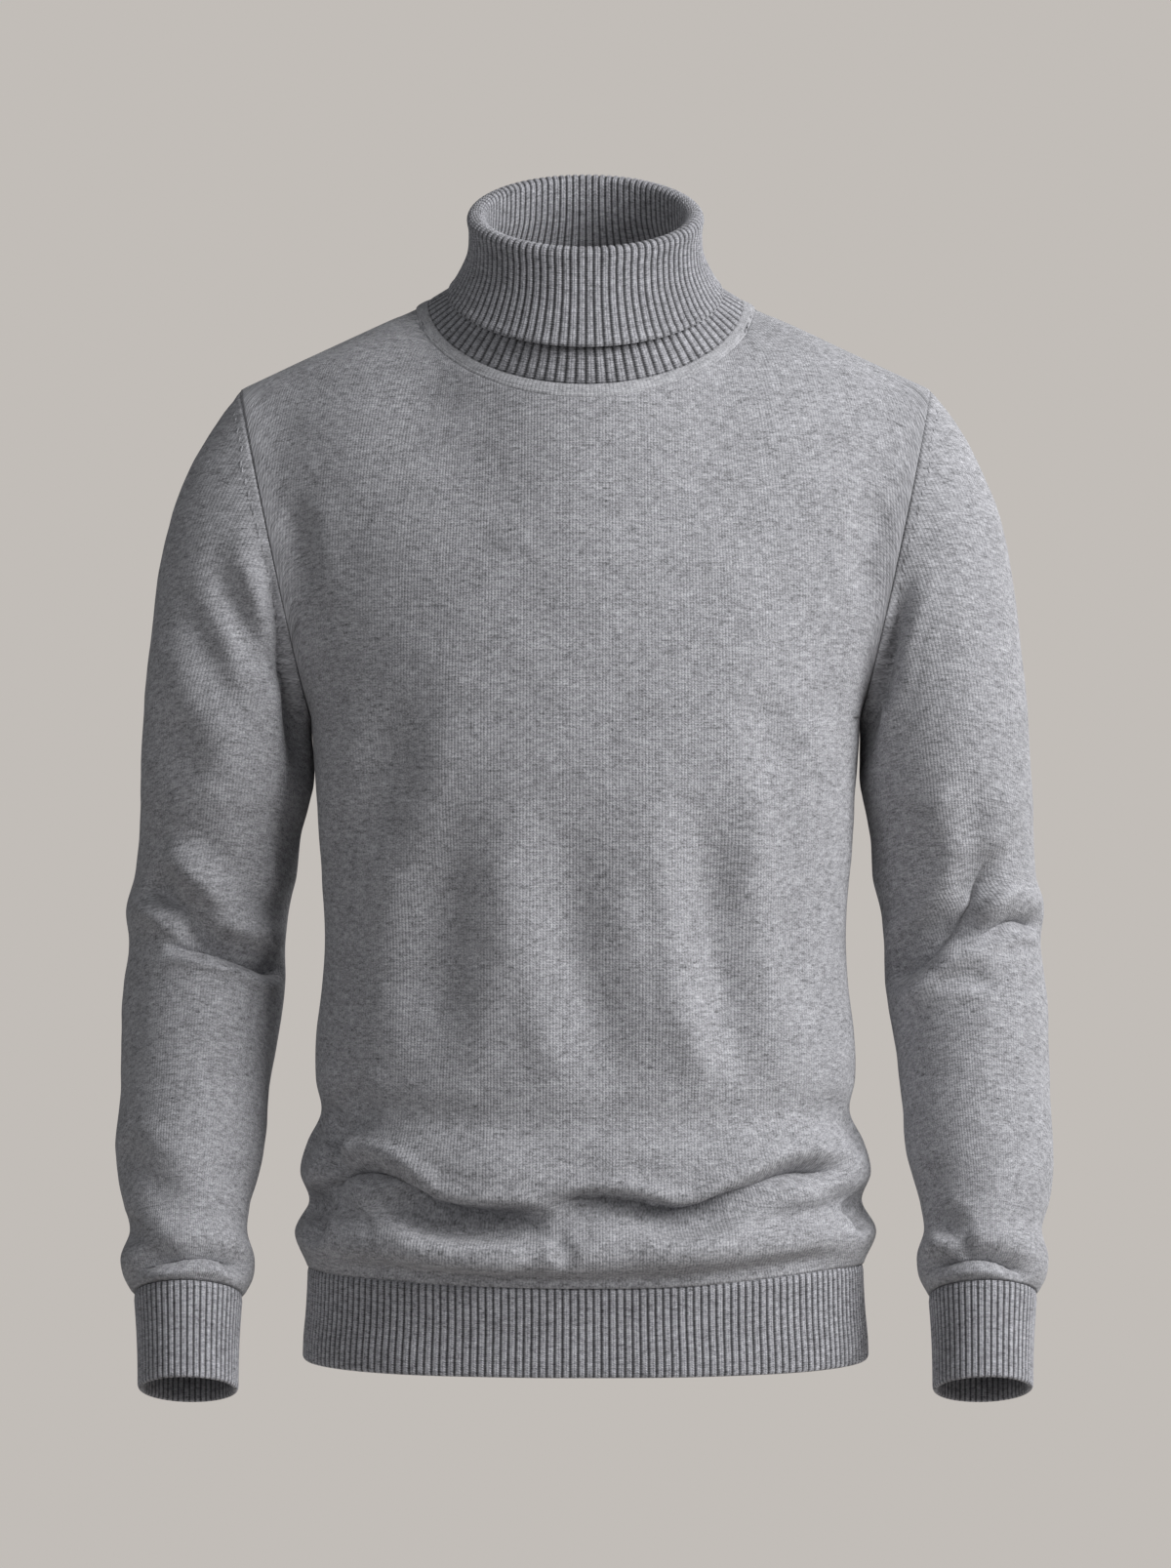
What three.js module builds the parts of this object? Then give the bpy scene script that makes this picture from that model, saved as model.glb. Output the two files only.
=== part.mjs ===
// A long-sleeved turtleneck sweater, filled out as if worn, with nothing inside it.
// Millimetres, +Z up, the front faces -Y and the wearer's left is +X. The origin is the centre of the neck
// base, level with the points where the shoulder seams reach the neck.
import * as THREE from 'three';

// Cloth
const JERSEY_WALL = 2.0;
const RIB_WALL = 2.2;
const RIB_RISE = 1.1;
const SEAM_GAP = 0.3;
const BAND_WALL = 2.4;
const BAND_PROUD = 0.5;

// Body
const SECTION_POWER = 2.4;
const UNDERARM = { x: 172, z: -262 };
const SHOULDER_POINT = { x: 216, z: -56 };
const BODY_BOTTOM_Z = -604.2;
const ARMHOLE_DEPTH_SHARE = { front: 0.56, back: 0.6 };
const SHOULDER_ROUNDNESS = 2.3;
const NECK_ROUNDNESS = 1.6;
const NECK_COLUMNS = 7;
const SHOULDER_COLUMNS = 4;
const ARMHOLE_ROWS = 10;
const NECK_POINT_SHARE = 0.66;

// Ribs and rings
const COLLAR_RIBS = 96;
const HEM_RIBS = 200;
const CUFF_RIBS = 54;
const HIDDEN_COLLAR_POINTS = 48;
const INNER_HEM_POINTS = 80;
const INNER_CUFF_POINTS = 27;

const GREY = { jersey: 0x8b8b90, rib: 0x7f7f86, band: 0x919196 };

// Outline of the body below the underarm: a row for each level, half-width and depth to front and back
const BODY_LEVELS = [
  { z: -262, halfWidth: 172, front: 115, back: 106 },
  { z: -284, halfWidth: 170.5, front: 116, back: 105 },
  { z: -307, halfWidth: 169, front: 116, back: 103 },
  { z: -335, halfWidth: 167, front: 115, back: 100 },
  { z: -363, halfWidth: 165, front: 114, back: 98 },
  { z: -400, halfWidth: 163.5, front: 113, back: 98 },
  { z: -430, halfWidth: 165, front: 113, back: 101 },
  { z: -460, halfWidth: 168.5, front: 114, back: 105 },
  { z: -488, halfWidth: 169, front: 114, back: 108 },
  { z: -510, halfWidth: 166, front: 113, back: 107 },
  { z: -528, halfWidth: 174.5, front: 117, back: 113 },
  { z: -547, halfWidth: 179, front: 120, back: 117 },
  { z: -565, halfWidth: 173.5, front: 115, back: 112 },
  { z: -584, halfWidth: 182.5, front: 124, back: 121 },
  { z: BODY_BOTTOM_Z, halfWidth: 174.5, front: 114, back: 113 },
];

// Folds seen from the front or back: a ridge or trough from one point to another, soft to both sides
const FRONT_FOLDS = [
  { x0: -165, z0: -546, x1: -97, z1: -570, width: 15, rise: -7 },
  { x0: -97, z0: -570, x1: -22, z1: -582, width: 15, rise: -6 },
  { x0: -10, z0: -566, x1: 88, z1: -560, width: 15, rise: -6 },
  { x0: 88, z0: -560, x1: 158, z1: -546, width: 15, rise: -7 },
  { x0: -108, z0: -262, x1: -136, z1: -368, width: 16, rise: -4 },
  { x0: -68, z0: -346, x1: -78, z1: -470, width: 18, rise: -5 },
  { x0: 6, z0: -335, x1: 34, z1: -490, width: 18, rise: -5 },
  { x0: 82, z0: -325, x1: 108, z1: -480, width: 18, rise: -5 },
  { x0: 120, z0: -270, x1: 130, z1: -300, width: 14, rise: -4 },
];
const BACK_FOLDS = [
  { x0: -160, z0: -544, x1: -40, z1: -566, width: 15, rise: -7 },
  { x0: 10, z0: -568, x1: 160, z1: -544, width: 15, rise: -7 },
  { x0: -60, z0: -330, x1: -84, z1: -480, width: 20, rise: -6 },
  { x0: 66, z0: -320, x1: 84, z1: -486, width: 20, rise: -6 },
  { x0: 0, z0: -230, x1: 4, z1: -430, width: 22, rise: -6 },
];

// Sleeve sections from the upper arm to the wrist, on the wearer's left
const SLEEVE_SECTIONS = [
  { x: 226.3, y: 8, z: -307, halfWidth: 53.8, halfDepth: 61, tilt: -6 },
  { x: 230.5, y: 15, z: -335, halfWidth: 51.6, halfDepth: 60, tilt: -7 },
  { x: 234, y: 20, z: -363, halfWidth: 51.8, halfDepth: 60, tilt: -4 },
  { x: 239, y: 22, z: -383, halfWidth: 51.8, halfDepth: 60, tilt: 1 },
  { x: 239, y: 22, z: -403, halfWidth: 49.8, halfDepth: 57, tilt: 7 },
  { x: 240.5, y: 17, z: -430, halfWidth: 50.6, halfDepth: 56, tilt: 13 },
  { x: 243, y: 6, z: -466, halfWidth: 48.6, halfDepth: 53, tilt: 18 },
  { x: 245, y: -5, z: -500, halfWidth: 46.5, halfDepth: 50, tilt: 19 },
  { x: 247.3, y: -20, z: -538, halfWidth: 44.8, halfDepth: 47, tilt: 20 },
  { x: 248, y: -32, z: -564, halfWidth: 40, halfDepth: 44, tilt: 20 },
  { x: 246.5, y: -39, z: -581, halfWidth: 37, halfDepth: 42, tilt: 20 },
  { x: 245.8, y: -46, z: -598, halfWidth: 41, halfDepth: 45, tilt: 20 },
  { x: 245.3, y: -51.5, z: -611, halfWidth: 40, halfDepth: 44, tilt: 20 },
  { x: 245, y: -54.5, z: -619, halfWidth: 34, halfDepth: 39, tilt: 20 },
];
const SLEEVE_CAP_RINGS = 6;
const CUFF_TOP = { x: 245, y: -54.6, z: -619.3, halfWidth: 32.6, halfDepth: 37.6, tilt: 20 };
const CUFF_BOTTOM = { x: 243.4, y: -75, z: -674.6, halfWidth: 31.2, halfDepth: 36.6, tilt: 20 };

// Elbow and wrist folds, on the front of the sleeve at +x or -x as seen
const SLEEVE_FOLDS = [
  { side: 1, x0: 262, z0: -342, x1: 217, z1: -410, width: 9, rise: -5 },
  { side: 1, x0: 217, z0: -410, x1: 192, z1: -430, width: 8, rise: -5 },
  { side: 1, x0: 286, z0: -395, x1: 240, z1: -402, width: 8, rise: 4 },
  { side: 1, x0: 222, z0: -578, x1: 260, z1: -584, width: 9, rise: -4 },
  { side: 1, x0: 206, z0: -224, x1: 178, z1: -262, width: 11, rise: -4 },
  { side: -1, x0: -266, z0: -373, x1: -233, z1: -402, width: 9, rise: -4 },
  { side: -1, x0: -258, z0: -408, x1: -192, z1: -426, width: 8, rise: -5 },
  { side: -1, x0: -248, z0: -360, x1: -192, z1: -418, width: 8, rise: 3 },
  { side: -1, x0: -272, z0: -548, x1: -248, z1: -556, width: 9, rise: -3 },
  { side: -1, x0: -226, z0: -156, x1: -212, z1: -200, width: 12, rise: -4 },
];
const ELBOW_BACK_FOLDS = [
  { x0: 205, z0: -376, x1: 272, z1: -386, width: 9, rise: -5 },
  { x0: 210, z0: -412, x1: 276, z1: -424, width: 9, rise: -5 },
];

// Rings round the neck: half-width, reach to front and back of its centre line, height at the sides and the
// slopes of the ring's plane in front and behind
const NECK_BASE = {
  halfWidth: 99, front: 88, back: 62, centre: 0, height: -2, frontSlope: 0.7, backSlope: 0.15,
};
const BAND_RUN = { side: 7, front: 4, back: 5, sideDrop: 3, frontDrop: 7.4, backDrop: 6.5 };
const SLOPE_SOFTNESS = 15;
const STAND_ROOT = {
  halfWidth: 96.6, front: 87.6, back: 61.8, centre: -0.5, height: -0.8, frontSlope: 0.69, backSlope: 0.16,
};
const STAND_UNDER_FOLD = {
  halfWidth: 80.2, front: 77, back: 71, centre: -9.5, height: 7.5, frontSlope: 0.57, backSlope: 0.26,
};
const STAND_MIDDLE = {
  halfWidth: 67.6, front: 62.6, back: 62, centre: -14, height: 28, frontSlope: 0.5, backSlope: 0.42,
};
const FOLD_ROWS = [
  { halfWidth: 85.5, front: 81, back: 78, centre: -12, height: 4.5, frontSlope: 0.54, backSlope: 0.28 },
  { halfWidth: 79, front: 76, back: 73.5, centre: -12.5, height: 14, frontSlope: 0.52, backSlope: 0.35 },
  { halfWidth: 73, front: 69.5, back: 68.5, centre: -14, height: 27, frontSlope: 0.5, backSlope: 0.42 },
  { halfWidth: 71.8, front: 66, back: 65.5, centre: -15, height: 41, frontSlope: 0.488, backSlope: 0.488 },
];
const RIM = {
  halfWidth: 68, front: 61, back: 61, centre: -15, height: 49.4, frontSlope: 0.488, backSlope: 0.488,
};
const RIM_RADIUS = 5;

const point = (x, y, z) => new THREE.Vector3(x, y, z);
const mix = (a, b, share) => a + (b - a) * share;
const radians = THREE.MathUtils.degToRad;

// Height along a fold or trough: full at its middle line, fading to both sides and to its ends
function foldRise(x, z, folds) {
  let rise = 0;
  for (const fold of folds) {
    const alongX = fold.x1 - fold.x0;
    const alongZ = fold.z1 - fold.z0;
    const length = Math.hypot(alongX, alongZ);
    const share = ((x - fold.x0) * alongX + (z - fold.z0) * alongZ) / length ** 2;
    const past = Math.max(0, -share, share - 1) * length;
    const aside = Math.abs((x - fold.x0) * alongZ - (z - fold.z0) * alongX) / length;
    rise += fold.rise * Math.exp(-((aside / fold.width) ** 2) - (past / (1.5 * fold.width)) ** 2);
  }
  return rise;
}

// A solid from rings of points, each joined to the next and the last to the first. Neighbouring rings may
// have different numbers of points, evenly spread from the same start.
function tubeFromRings(rings) {
  const positions = [];
  const starts = rings.map((ring) => {
    const start = positions.length / 3;
    ring.forEach((p) => positions.push(p.x, p.y, p.z));
    return start;
  });
  const triangles = [];
  rings.forEach((ring, index) => {
    const nextIndex = (index + 1) % rings.length;
    const [lower, upper] = [ring.length, rings[nextIndex].length];
    const a = (k) => starts[index] + (k % lower);
    const b = (k) => starts[nextIndex] + (k % upper);
    for (let i = 0, j = 0; i < lower || j < upper;) {
      if (j === upper || (i < lower && (i + 1) * upper <= (j + 1) * lower)) {
        triangles.push(a(i), a(i + 1), b(j));
        i += 1;
      } else {
        triangles.push(a(i), b(j + 1), b(j));
        j += 1;
      }
    }
  });
  return outwardGeometry(positions, triangles);
}

// A solid panel from two equal grids of points, with a rim all round
function panelFromGrids(outer, inner) {
  const rows = outer.length;
  const columns = outer[0].length;
  const positions = [...outer, ...inner].flat().flatMap((p) => [p.x, p.y, p.z]);
  const at = (layer, row, column) => (layer * rows + row) * columns + column;
  const triangles = [];
  const quad = (a, b, c, d) => triangles.push(a, b, c, a, c, d);
  for (let i = 0; i < rows - 1; i += 1) {
    for (let j = 0; j < columns - 1; j += 1) {
      quad(at(0, i, j), at(0, i, j + 1), at(0, i + 1, j + 1), at(0, i + 1, j));
      quad(at(1, i, j), at(1, i + 1, j), at(1, i + 1, j + 1), at(1, i, j + 1));
    }
    quad(at(0, i, 0), at(0, i + 1, 0), at(1, i + 1, 0), at(1, i, 0));
    quad(at(0, i + 1, columns - 1), at(0, i, columns - 1), at(1, i, columns - 1), at(1, i + 1, columns - 1));
  }
  for (let j = 0; j < columns - 1; j += 1) {
    quad(at(0, 0, j + 1), at(0, 0, j), at(1, 0, j), at(1, 0, j + 1));
    quad(at(0, rows - 1, j), at(0, rows - 1, j + 1), at(1, rows - 1, j + 1), at(1, rows - 1, j));
  }
  return outwardGeometry(positions, triangles);
}

// The geometry with all its faces turned outward
function outwardGeometry(positions, triangles) {
  const corner = (k) => new THREE.Vector3().fromArray(positions, 3 * k);
  let volume = 0;
  for (let k = 0; k < triangles.length; k += 3) {
    const [a, b, c] = triangles.slice(k, k + 3).map(corner);
    volume += a.dot(b.cross(c));
  }
  const geometry = new THREE.BufferGeometry();
  geometry.setAttribute('position', new THREE.Float32BufferAttribute(positions, 3));
  geometry.setIndex(volume < 0 ? triangles.reverse() : triangles);
  geometry.computeVertexNormals();
  return geometry;
}

// Unit normals of a grid of points, pointing away from the axis that runs through each row's centre
function gridNormals(grid, closed, centreOf) {
  const last = grid.length - 1;
  return grid.map((row, i) => row.map((p, j) => {
    const count = row.length;
    const before = closed ? (j + count - 1) % count : Math.max(0, j - 1);
    const after = closed ? (j + 1) % count : Math.min(count - 1, j + 1);
    const across = row[after].clone().sub(row[before]);
    const along = grid[Math.min(last, i + 1)][j].clone().sub(grid[Math.max(0, i - 1)][j]);
    const normal = across.cross(along).normalize();
    return normal.dot(p.clone().sub(centreOf(i))) < 0 ? normal.negate() : normal;
  }));
}

// Body panels

function neckRingPoint(ring, angle) {
  const reach = Math.cos(angle) > 0 ? ring.front : ring.back;
  const y = ring.centre - reach * Math.cos(angle);
  const lean = (ring.frontSlope + ring.backSlope) / 2;
  const bend = (ring.frontSlope - ring.backSlope) / 2;
  const out = y - ring.centre;
  const z = ring.height + lean * out - bend * (Math.hypot(out, SLOPE_SOFTNESS) - SLOPE_SOFTNESS);
  return point(ring.halfWidth * Math.sin(angle), y, z);
}

// The line where the neck band meets the body, a little down and out from the neck base
function bandEdgePoint(angle, share) {
  const p = neckRingPoint(NECK_BASE, angle);
  const facing = Math.cos(angle) ** 2;
  const front = Math.cos(angle) > 0;
  const run = front ? BAND_RUN.front : BAND_RUN.back;
  const drop = mix(BAND_RUN.sideDrop, front ? BAND_RUN.frontDrop : BAND_RUN.backDrop, facing);
  p.x += share * BAND_RUN.side * Math.sin(angle);
  p.y -= share * run * Math.cos(angle);
  p.z -= share * drop;
  return p;
}

// Outward direction that the band and the body share along their seam
const neckAway = (angle) => point(Math.sin(angle), -Math.cos(angle), 0.6).normalize();

// Top edge of a panel for each column of one half: the neckline from its centre, then the shoulder seam
function panelTop(facing) {
  const top = [];
  for (let k = 0; k <= NECK_COLUMNS; k += 1) {
    const turn = (Math.PI / 2) * (k / NECK_COLUMNS);
    const clear = 1 + SEAM_GAP / 8;
    top.push(bandEdgePoint(facing < 0 ? turn : Math.PI - turn, clear));
  }
  const neckPoint = top[NECK_COLUMNS];
  for (let k = 1; k <= SHOULDER_COLUMNS; k += 1) {
    const share = k / SHOULDER_COLUMNS;
    top.push(point(mix(neckPoint.x, SHOULDER_POINT.x, share), 0, mix(neckPoint.z, SHOULDER_POINT.z, share)));
  }
  top[NECK_COLUMNS].y = 0;
  return top;
}

// Half-width shares of the columns at the underarm level, from the centre to the side seam
function columnShares() {
  const shares = [];
  for (let k = 0; k <= NECK_COLUMNS; k += 1) {
    shares.push(NECK_POINT_SHARE * (k / NECK_COLUMNS));
  }
  for (let k = 1; k <= SHOULDER_COLUMNS; k += 1) {
    shares.push(mix(NECK_POINT_SHARE, 1, Math.sin((Math.PI / 2) * (k / SHOULDER_COLUMNS))));
  }
  return shares;
}

const roundSection = (share, power) => (Math.max(0, 1 - Math.abs(share) ** power)) ** (1 / power);

// A half panel as rows of points from the hem seam up to the shoulder, columns from the centre to the side
function halfPanel(facing) {
  const key = facing < 0 ? 'front' : 'back';
  const shares = columnShares();
  const top = panelTop(facing);
  const rows = [];
  for (const level of [...BODY_LEVELS].reverse()) {
    rows.push(shares.map((share) => point(
      level.halfWidth * share,
      facing * level[key] * roundSection(share, SECTION_POWER),
      level.z,
    )));
  }
  const chest = BODY_LEVELS[0][key];
  for (let k = 1; k <= ARMHOLE_ROWS; k += 1) {
    const climb = (1 - Math.cos(Math.PI * (k / ARMHOLE_ROWS))) / 2;
    const edgeShare = ARMHOLE_DEPTH_SHARE[key] * Math.sqrt(1 - (1 - climb) ** 3);
    const sectionShare = roundSection(edgeShare, SECTION_POWER);
    rows.push(shares.map((share, column) => {
      const end = top[column];
      const wide = chest * roundSection(share * sectionShare, SECTION_POWER);
      const neckFall = 1 - climb ** NECK_ROUNDNESS;
      const shoulderFall = roundSection(climb, SHOULDER_ROUNDNESS);
      const fall = mix(neckFall, shoulderFall, THREE.MathUtils.smoothstep(share, 0.1, 0.9));
      return point(
        mix(UNDERARM.x * share, end.x, climb),
        mix(end.y, facing * wide, fall),
        mix(UNDERARM.z, end.z, climb),
      );
    }));
  }
  return rows;
}

// The whole panel: the half and its mirror image, folded, then set back from the side and shoulder seams
function bodyPanelGrids(facing, folds) {
  const half = halfPanel(facing);
  const outer = half.map((row) => {
    const mirrored = row.slice(1).reverse().map((p) => point(-p.x, p.y, p.z));
    return [...mirrored, ...row];
  });
  const centreOf = (i) => point(0, facing * 20, outer[i][0].z);
  const flat = gridNormals(outer, false, centreOf);
  outer.forEach((row, i) => row.forEach((p, j) => {
    const edge = Math.min(1, Math.min(j, row.length - 1 - j) / 2);
    p.addScaledVector(flat[i][j], edge * foldRise(p.x, p.z, folds));
    p.y += facing * (SEAM_GAP / 2);
  }));
  const normals = gridNormals(outer, false, centreOf);
  const inner = outer.map((row, i) => row.map((p, j) => {
    const normal = normals[i][j];
    const onSide = j === 0 || j === row.length - 1;
    if (onSide && outer[i][j].z <= UNDERARM.z) normal.y = 0;
    if (i === 0) normal.z = 0;
    const column = j - (row.length - 1) / 2;
    if (i === outer.length - 1 && Math.abs(column) <= NECK_COLUMNS) {
      const turn = (Math.PI / 2) * (column / NECK_COLUMNS);
      normal.copy(neckAway(facing < 0 ? turn : Math.PI - turn));
    }
    normal.normalize();
    const q = p.clone().addScaledVector(normal, -JERSEY_WALL);
    if (i === outer.length - 1 || onSide) q.y = facing < 0 ? Math.min(q.y, p.y) : Math.max(q.y, p.y);
    return q;
  }));
  return { outer, inner };
}

const front = bodyPanelGrids(-1, FRONT_FOLDS);
const back = bodyPanelGrids(1, BACK_FOLDS);

// Sleeves

// The armhole as a loop of points on the +x side: up the front edge from the underarm, down the back edge
function armholeLoop() {
  const edge = (grid) => grid.slice(BODY_LEVELS.length - 1).map((row) => row[row.length - 1]);
  const frontEdge = edge(front.outer);
  const backEdge = edge(back.outer);
  const loop = [...frontEdge, ...backEdge.slice(1, -1).reverse()];
  return loop.map((p) => p.clone());
}

const SEAM_OUT = point(
  UNDERARM.z - SHOULDER_POINT.z, 0, SHOULDER_POINT.x - UNDERARM.x,
).normalize().negate();

function sleeveSectionPoint(section, angle) {
  const across = -Math.cos(angle) * section.halfWidth;
  const deep = -Math.sin(angle) * section.halfDepth;
  const tilt = radians(section.tilt);
  return point(section.x + across, section.y + deep * Math.cos(tilt), section.z - deep * Math.sin(tilt));
}

// How the cloth leaves the armhole round the loop, and how far that pull reaches
function capTangent(angle) {
  const underarm = (1 + Math.cos(angle)) / 2;
  const deep = -Math.sin(angle);
  return point(mix(0.68, 0.02, underarm), 0.12 * deep, mix(-0.74, -1, underarm));
}

function sleeveRings(side) {
  const loop = armholeLoop();
  const angleOf = (j) => (2 * Math.PI * j) / loop.length;
  const first = SLEEVE_SECTIONS[0];
  const rings = [loop.map((p) => p.clone().addScaledVector(SEAM_OUT, SEAM_GAP))];
  for (let k = 1; k < SLEEVE_CAP_RINGS; k += 1) {
    const t = k / SLEEVE_CAP_RINGS;
    rings.push(loop.map((p, j) => {
      const start = rings[0][j];
      const end = sleeveSectionPoint(first, angleOf(j));
      const reach = start.distanceTo(end);
      const leave = capTangent(angleOf(j)).multiplyScalar(reach);
      const arrive = point(0.06, 0.12, -1).multiplyScalar(reach);
      const [t2, t3] = [t * t, t * t * t];
      return start.clone().multiplyScalar(2 * t3 - 3 * t2 + 1)
        .addScaledVector(leave, t3 - 2 * t2 + t)
        .addScaledVector(end, 3 * t2 - 2 * t3)
        .addScaledVector(arrive, t3 - t2);
    }));
  }
  for (const section of SLEEVE_SECTIONS) {
    rings.push(loop.map((p, j) => sleeveSectionPoint(section, angleOf(j))));
  }
  const centreOf = (i) => rings[i].reduce((sum, p) => sum.add(p), point(0, 0, 0))
    .divideScalar(rings[i].length);
  const smooth = gridNormals(rings, true, centreOf);
  const seen = SLEEVE_FOLDS.filter((fold) => fold.side === side)
    .map((fold) => ({ ...fold, x0: fold.x0 * side, x1: fold.x1 * side }));
  const outer = rings.map((ring, i) => ring.map((p, j) => {
    const fades = i > 0 && i < rings.length - 2 ? 1 : 0;
    const facing = smooth[i][j].y;
    const rise = Math.max(0, -facing) * foldRise(p.x, p.z, seen)
      + Math.max(0, facing) * foldRise(p.x, p.z, ELBOW_BACK_FOLDS);
    return p.clone().addScaledVector(smooth[i][j], fades * rise);
  }));
  const normals = gridNormals(outer, true, centreOf);
  const inner = outer.map((ring, i) => ring.map((p, j) => {
    const inward = normals[i][j].clone().negate();
    if (i === 0) inward.addScaledVector(SEAM_OUT, Math.max(0, -inward.dot(SEAM_OUT))).normalize();
    if (i === rings.length - 1) {
      const tilt = radians(SLEEVE_SECTIONS[SLEEVE_SECTIONS.length - 1].tilt);
      const down = point(0, -Math.sin(tilt), -Math.cos(tilt));
      inward.addScaledVector(down, -inward.dot(down)).normalize();
    }
    return p.clone().addScaledVector(inward, JERSEY_WALL);
  }));
  const all = [...outer, ...inner.reverse()];
  all.flat().forEach((p) => { p.x *= side; });
  return all;
}

// Ribbed tubes

// Even steps round a rounded section, so that ribs keep one pitch
function evenAngles(halfWidth, halfDepth, power, count) {
  const STEPS = 720;
  const at = (turn) => {
    const [c, s] = [Math.cos(turn), Math.sin(turn)];
    const round = (value, size) => Math.sign(value) * size * Math.abs(value) ** (2 / power);
    return [round(c, halfWidth), round(s, halfDepth)];
  };
  const lengths = [0];
  for (let k = 1; k <= STEPS; k += 1) {
    const [a, b] = [at((2 * Math.PI * (k - 1)) / STEPS), at((2 * Math.PI * k) / STEPS)];
    lengths.push(lengths[k - 1] + Math.hypot(b[0] - a[0], b[1] - a[1]));
  }
  const places = [];
  let k = 1;
  for (let i = 0; i < count; i += 1) {
    const wanted = (lengths[STEPS] * i) / count;
    while (lengths[k] < wanted) k += 1;
    const turn = (2 * Math.PI * (k - (lengths[k] - wanted) / (lengths[k] - lengths[k - 1]))) / STEPS;
    places.push(at(turn));
  }
  return places;
}

const ribStep = (j, rise) => (j % 2 === 0 ? rise : 0);

function hemRings() {
  const level = (z, halfWidth, front_, back_, inset, points, rise) => (
    evenAngles(halfWidth - inset, (front_ + back_) / 2 - inset, SECTION_POWER, points).map(([x, y], j) => {
      const away = point(x / halfWidth ** 2, y / ((front_ + back_) / 2) ** 2, 0).normalize();
      return point(x, y + (back_ - front_) / 2, z).addScaledVector(away, ribStep(j, rise));
    })
  );
  const top = BODY_BOTTOM_Z - SEAM_GAP;
  const ribs = 2 * HEM_RIBS;
  const rows = [
    { z: top, halfWidth: 172.5, front: 112.5, back: 111.5 },
    { z: -634, halfWidth: 174, front: 112, back: 111 },
    { z: -663, halfWidth: 176, front: 113.5, back: 112 },
  ];
  return [
    ...rows.map((r) => level(r.z, r.halfWidth, r.front, r.back, 0, ribs, RIB_RISE)),
    ...[rows[2], rows[0]].map((r) => level(r.z, r.halfWidth, r.front, r.back, RIB_WALL, INNER_HEM_POINTS, 0)),
  ];
}

function cuffRings(side) {
  const ring = (share, inset, points, rise) => {
    const size = (key) => mix(CUFF_TOP[key], CUFF_BOTTOM[key], share);
    const [halfWidth, halfDepth, tilt] = [size('halfWidth'), size('halfDepth'), radians(size('tilt'))];
    return evenAngles(halfWidth - inset, halfDepth - inset, 2, points).map(([x, deep], j) => {
      const out = Math.hypot(x / halfWidth ** 2, deep / halfDepth ** 2);
      const step = ribStep(j, rise) / out;
      const across = x + step * (x / halfWidth ** 2);
      const along = deep + step * (deep / halfDepth ** 2);
      return point(
        side * (size('x') + across), size('y') + along * Math.cos(tilt), size('z') - along * Math.sin(tilt),
      );
    });
  };
  const ribs = 2 * CUFF_RIBS;
  return [
    ...[0, 0.5, 1].map((share) => ring(share, 0, ribs, RIB_RISE * 0.85)),
    ...[1, 0].map((share) => ring(share, RIB_WALL, INNER_CUFF_POINTS, 0)),
  ];
}

// Neck

const neckAngles = (count) => Array.from({ length: count }, (_, k) => (2 * Math.PI * k) / count);

function neckBandRings() {
  const turns = neckAngles(4 * NECK_COLUMNS);
  const edge = (share, lift) => turns.map((angle) => {
    return bandEdgePoint(angle, share).addScaledVector(neckAway(angle), lift);
  });
  const clear = SEAM_GAP / 8;
  return [edge(1, 0), edge(0.5, BAND_PROUD), edge(clear, 0), edge(clear, -BAND_WALL), edge(1, -BAND_WALL)];
}

function collarRings() {
  const ribbed = 2 * COLLAR_RIBS;
  const plain = HIDDEN_COLLAR_POINTS;
  const ring = (size, points, inset, rise) => neckAngles(points).map((angle, j) => {
    const away = point(Math.sin(angle), -Math.cos(angle), 0);
    return neckRingPoint(size, angle).addScaledVector(away, ribStep(j, rise) - inset);
  });
  // A step over the rolled rim: turn 0 is its outer side, half a turn its inner side
  const rolled = (turn, radius, points, rise) => neckAngles(points).map((angle, j) => {
    const reach = radius + ribStep(j, rise);
    const away = point(Math.sin(angle), -Math.cos(angle), 0);
    return neckRingPoint(RIM, angle).addScaledVector(away, reach * Math.cos(turn))
      .add(point(0, 0, reach * Math.sin(turn)));
  });
  const inside = RIM_RADIUS - RIB_WALL;
  const baseTurns = 4 * NECK_COLUMNS;
  return [
    ...FOLD_ROWS.map((row) => ring(row, ribbed, 0, RIB_RISE)),
    ...[0, 50, 100].map((turn) => rolled(radians(turn), RIM_RADIUS, ribbed, RIB_RISE)),
    rolled(Math.PI, RIM_RADIUS, plain, 0),
    ...[STAND_MIDDLE, STAND_UNDER_FOLD].map((size) => ring(size, plain, RIB_WALL, 0)),
    ring(NECK_BASE, baseTurns, RIB_WALL, 0),
    ring(NECK_BASE, baseTurns, 0, 0),
    ...[STAND_ROOT, STAND_UNDER_FOLD].map((size) => ring(size, ribbed, 0, RIB_RISE)),
    ring(STAND_MIDDLE, plain, 0, 0),
    ...[180, 90, 0].map((turn) => rolled(radians(turn), inside, plain, 0)),
    ...FOLD_ROWS.slice(0, 3).reverse().map((row) => ring(row, plain, RIB_WALL, 0)),
  ];
}

const finish = (color) => new THREE.MeshStandardMaterial({ color, roughness: 0.95, metalness: 0 });
const sweater = new THREE.Group();
const add = (name, geometry, color) => {
  const mesh = new THREE.Mesh(geometry, finish(color));
  mesh.name = name;
  sweater.add(mesh);
};

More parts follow.
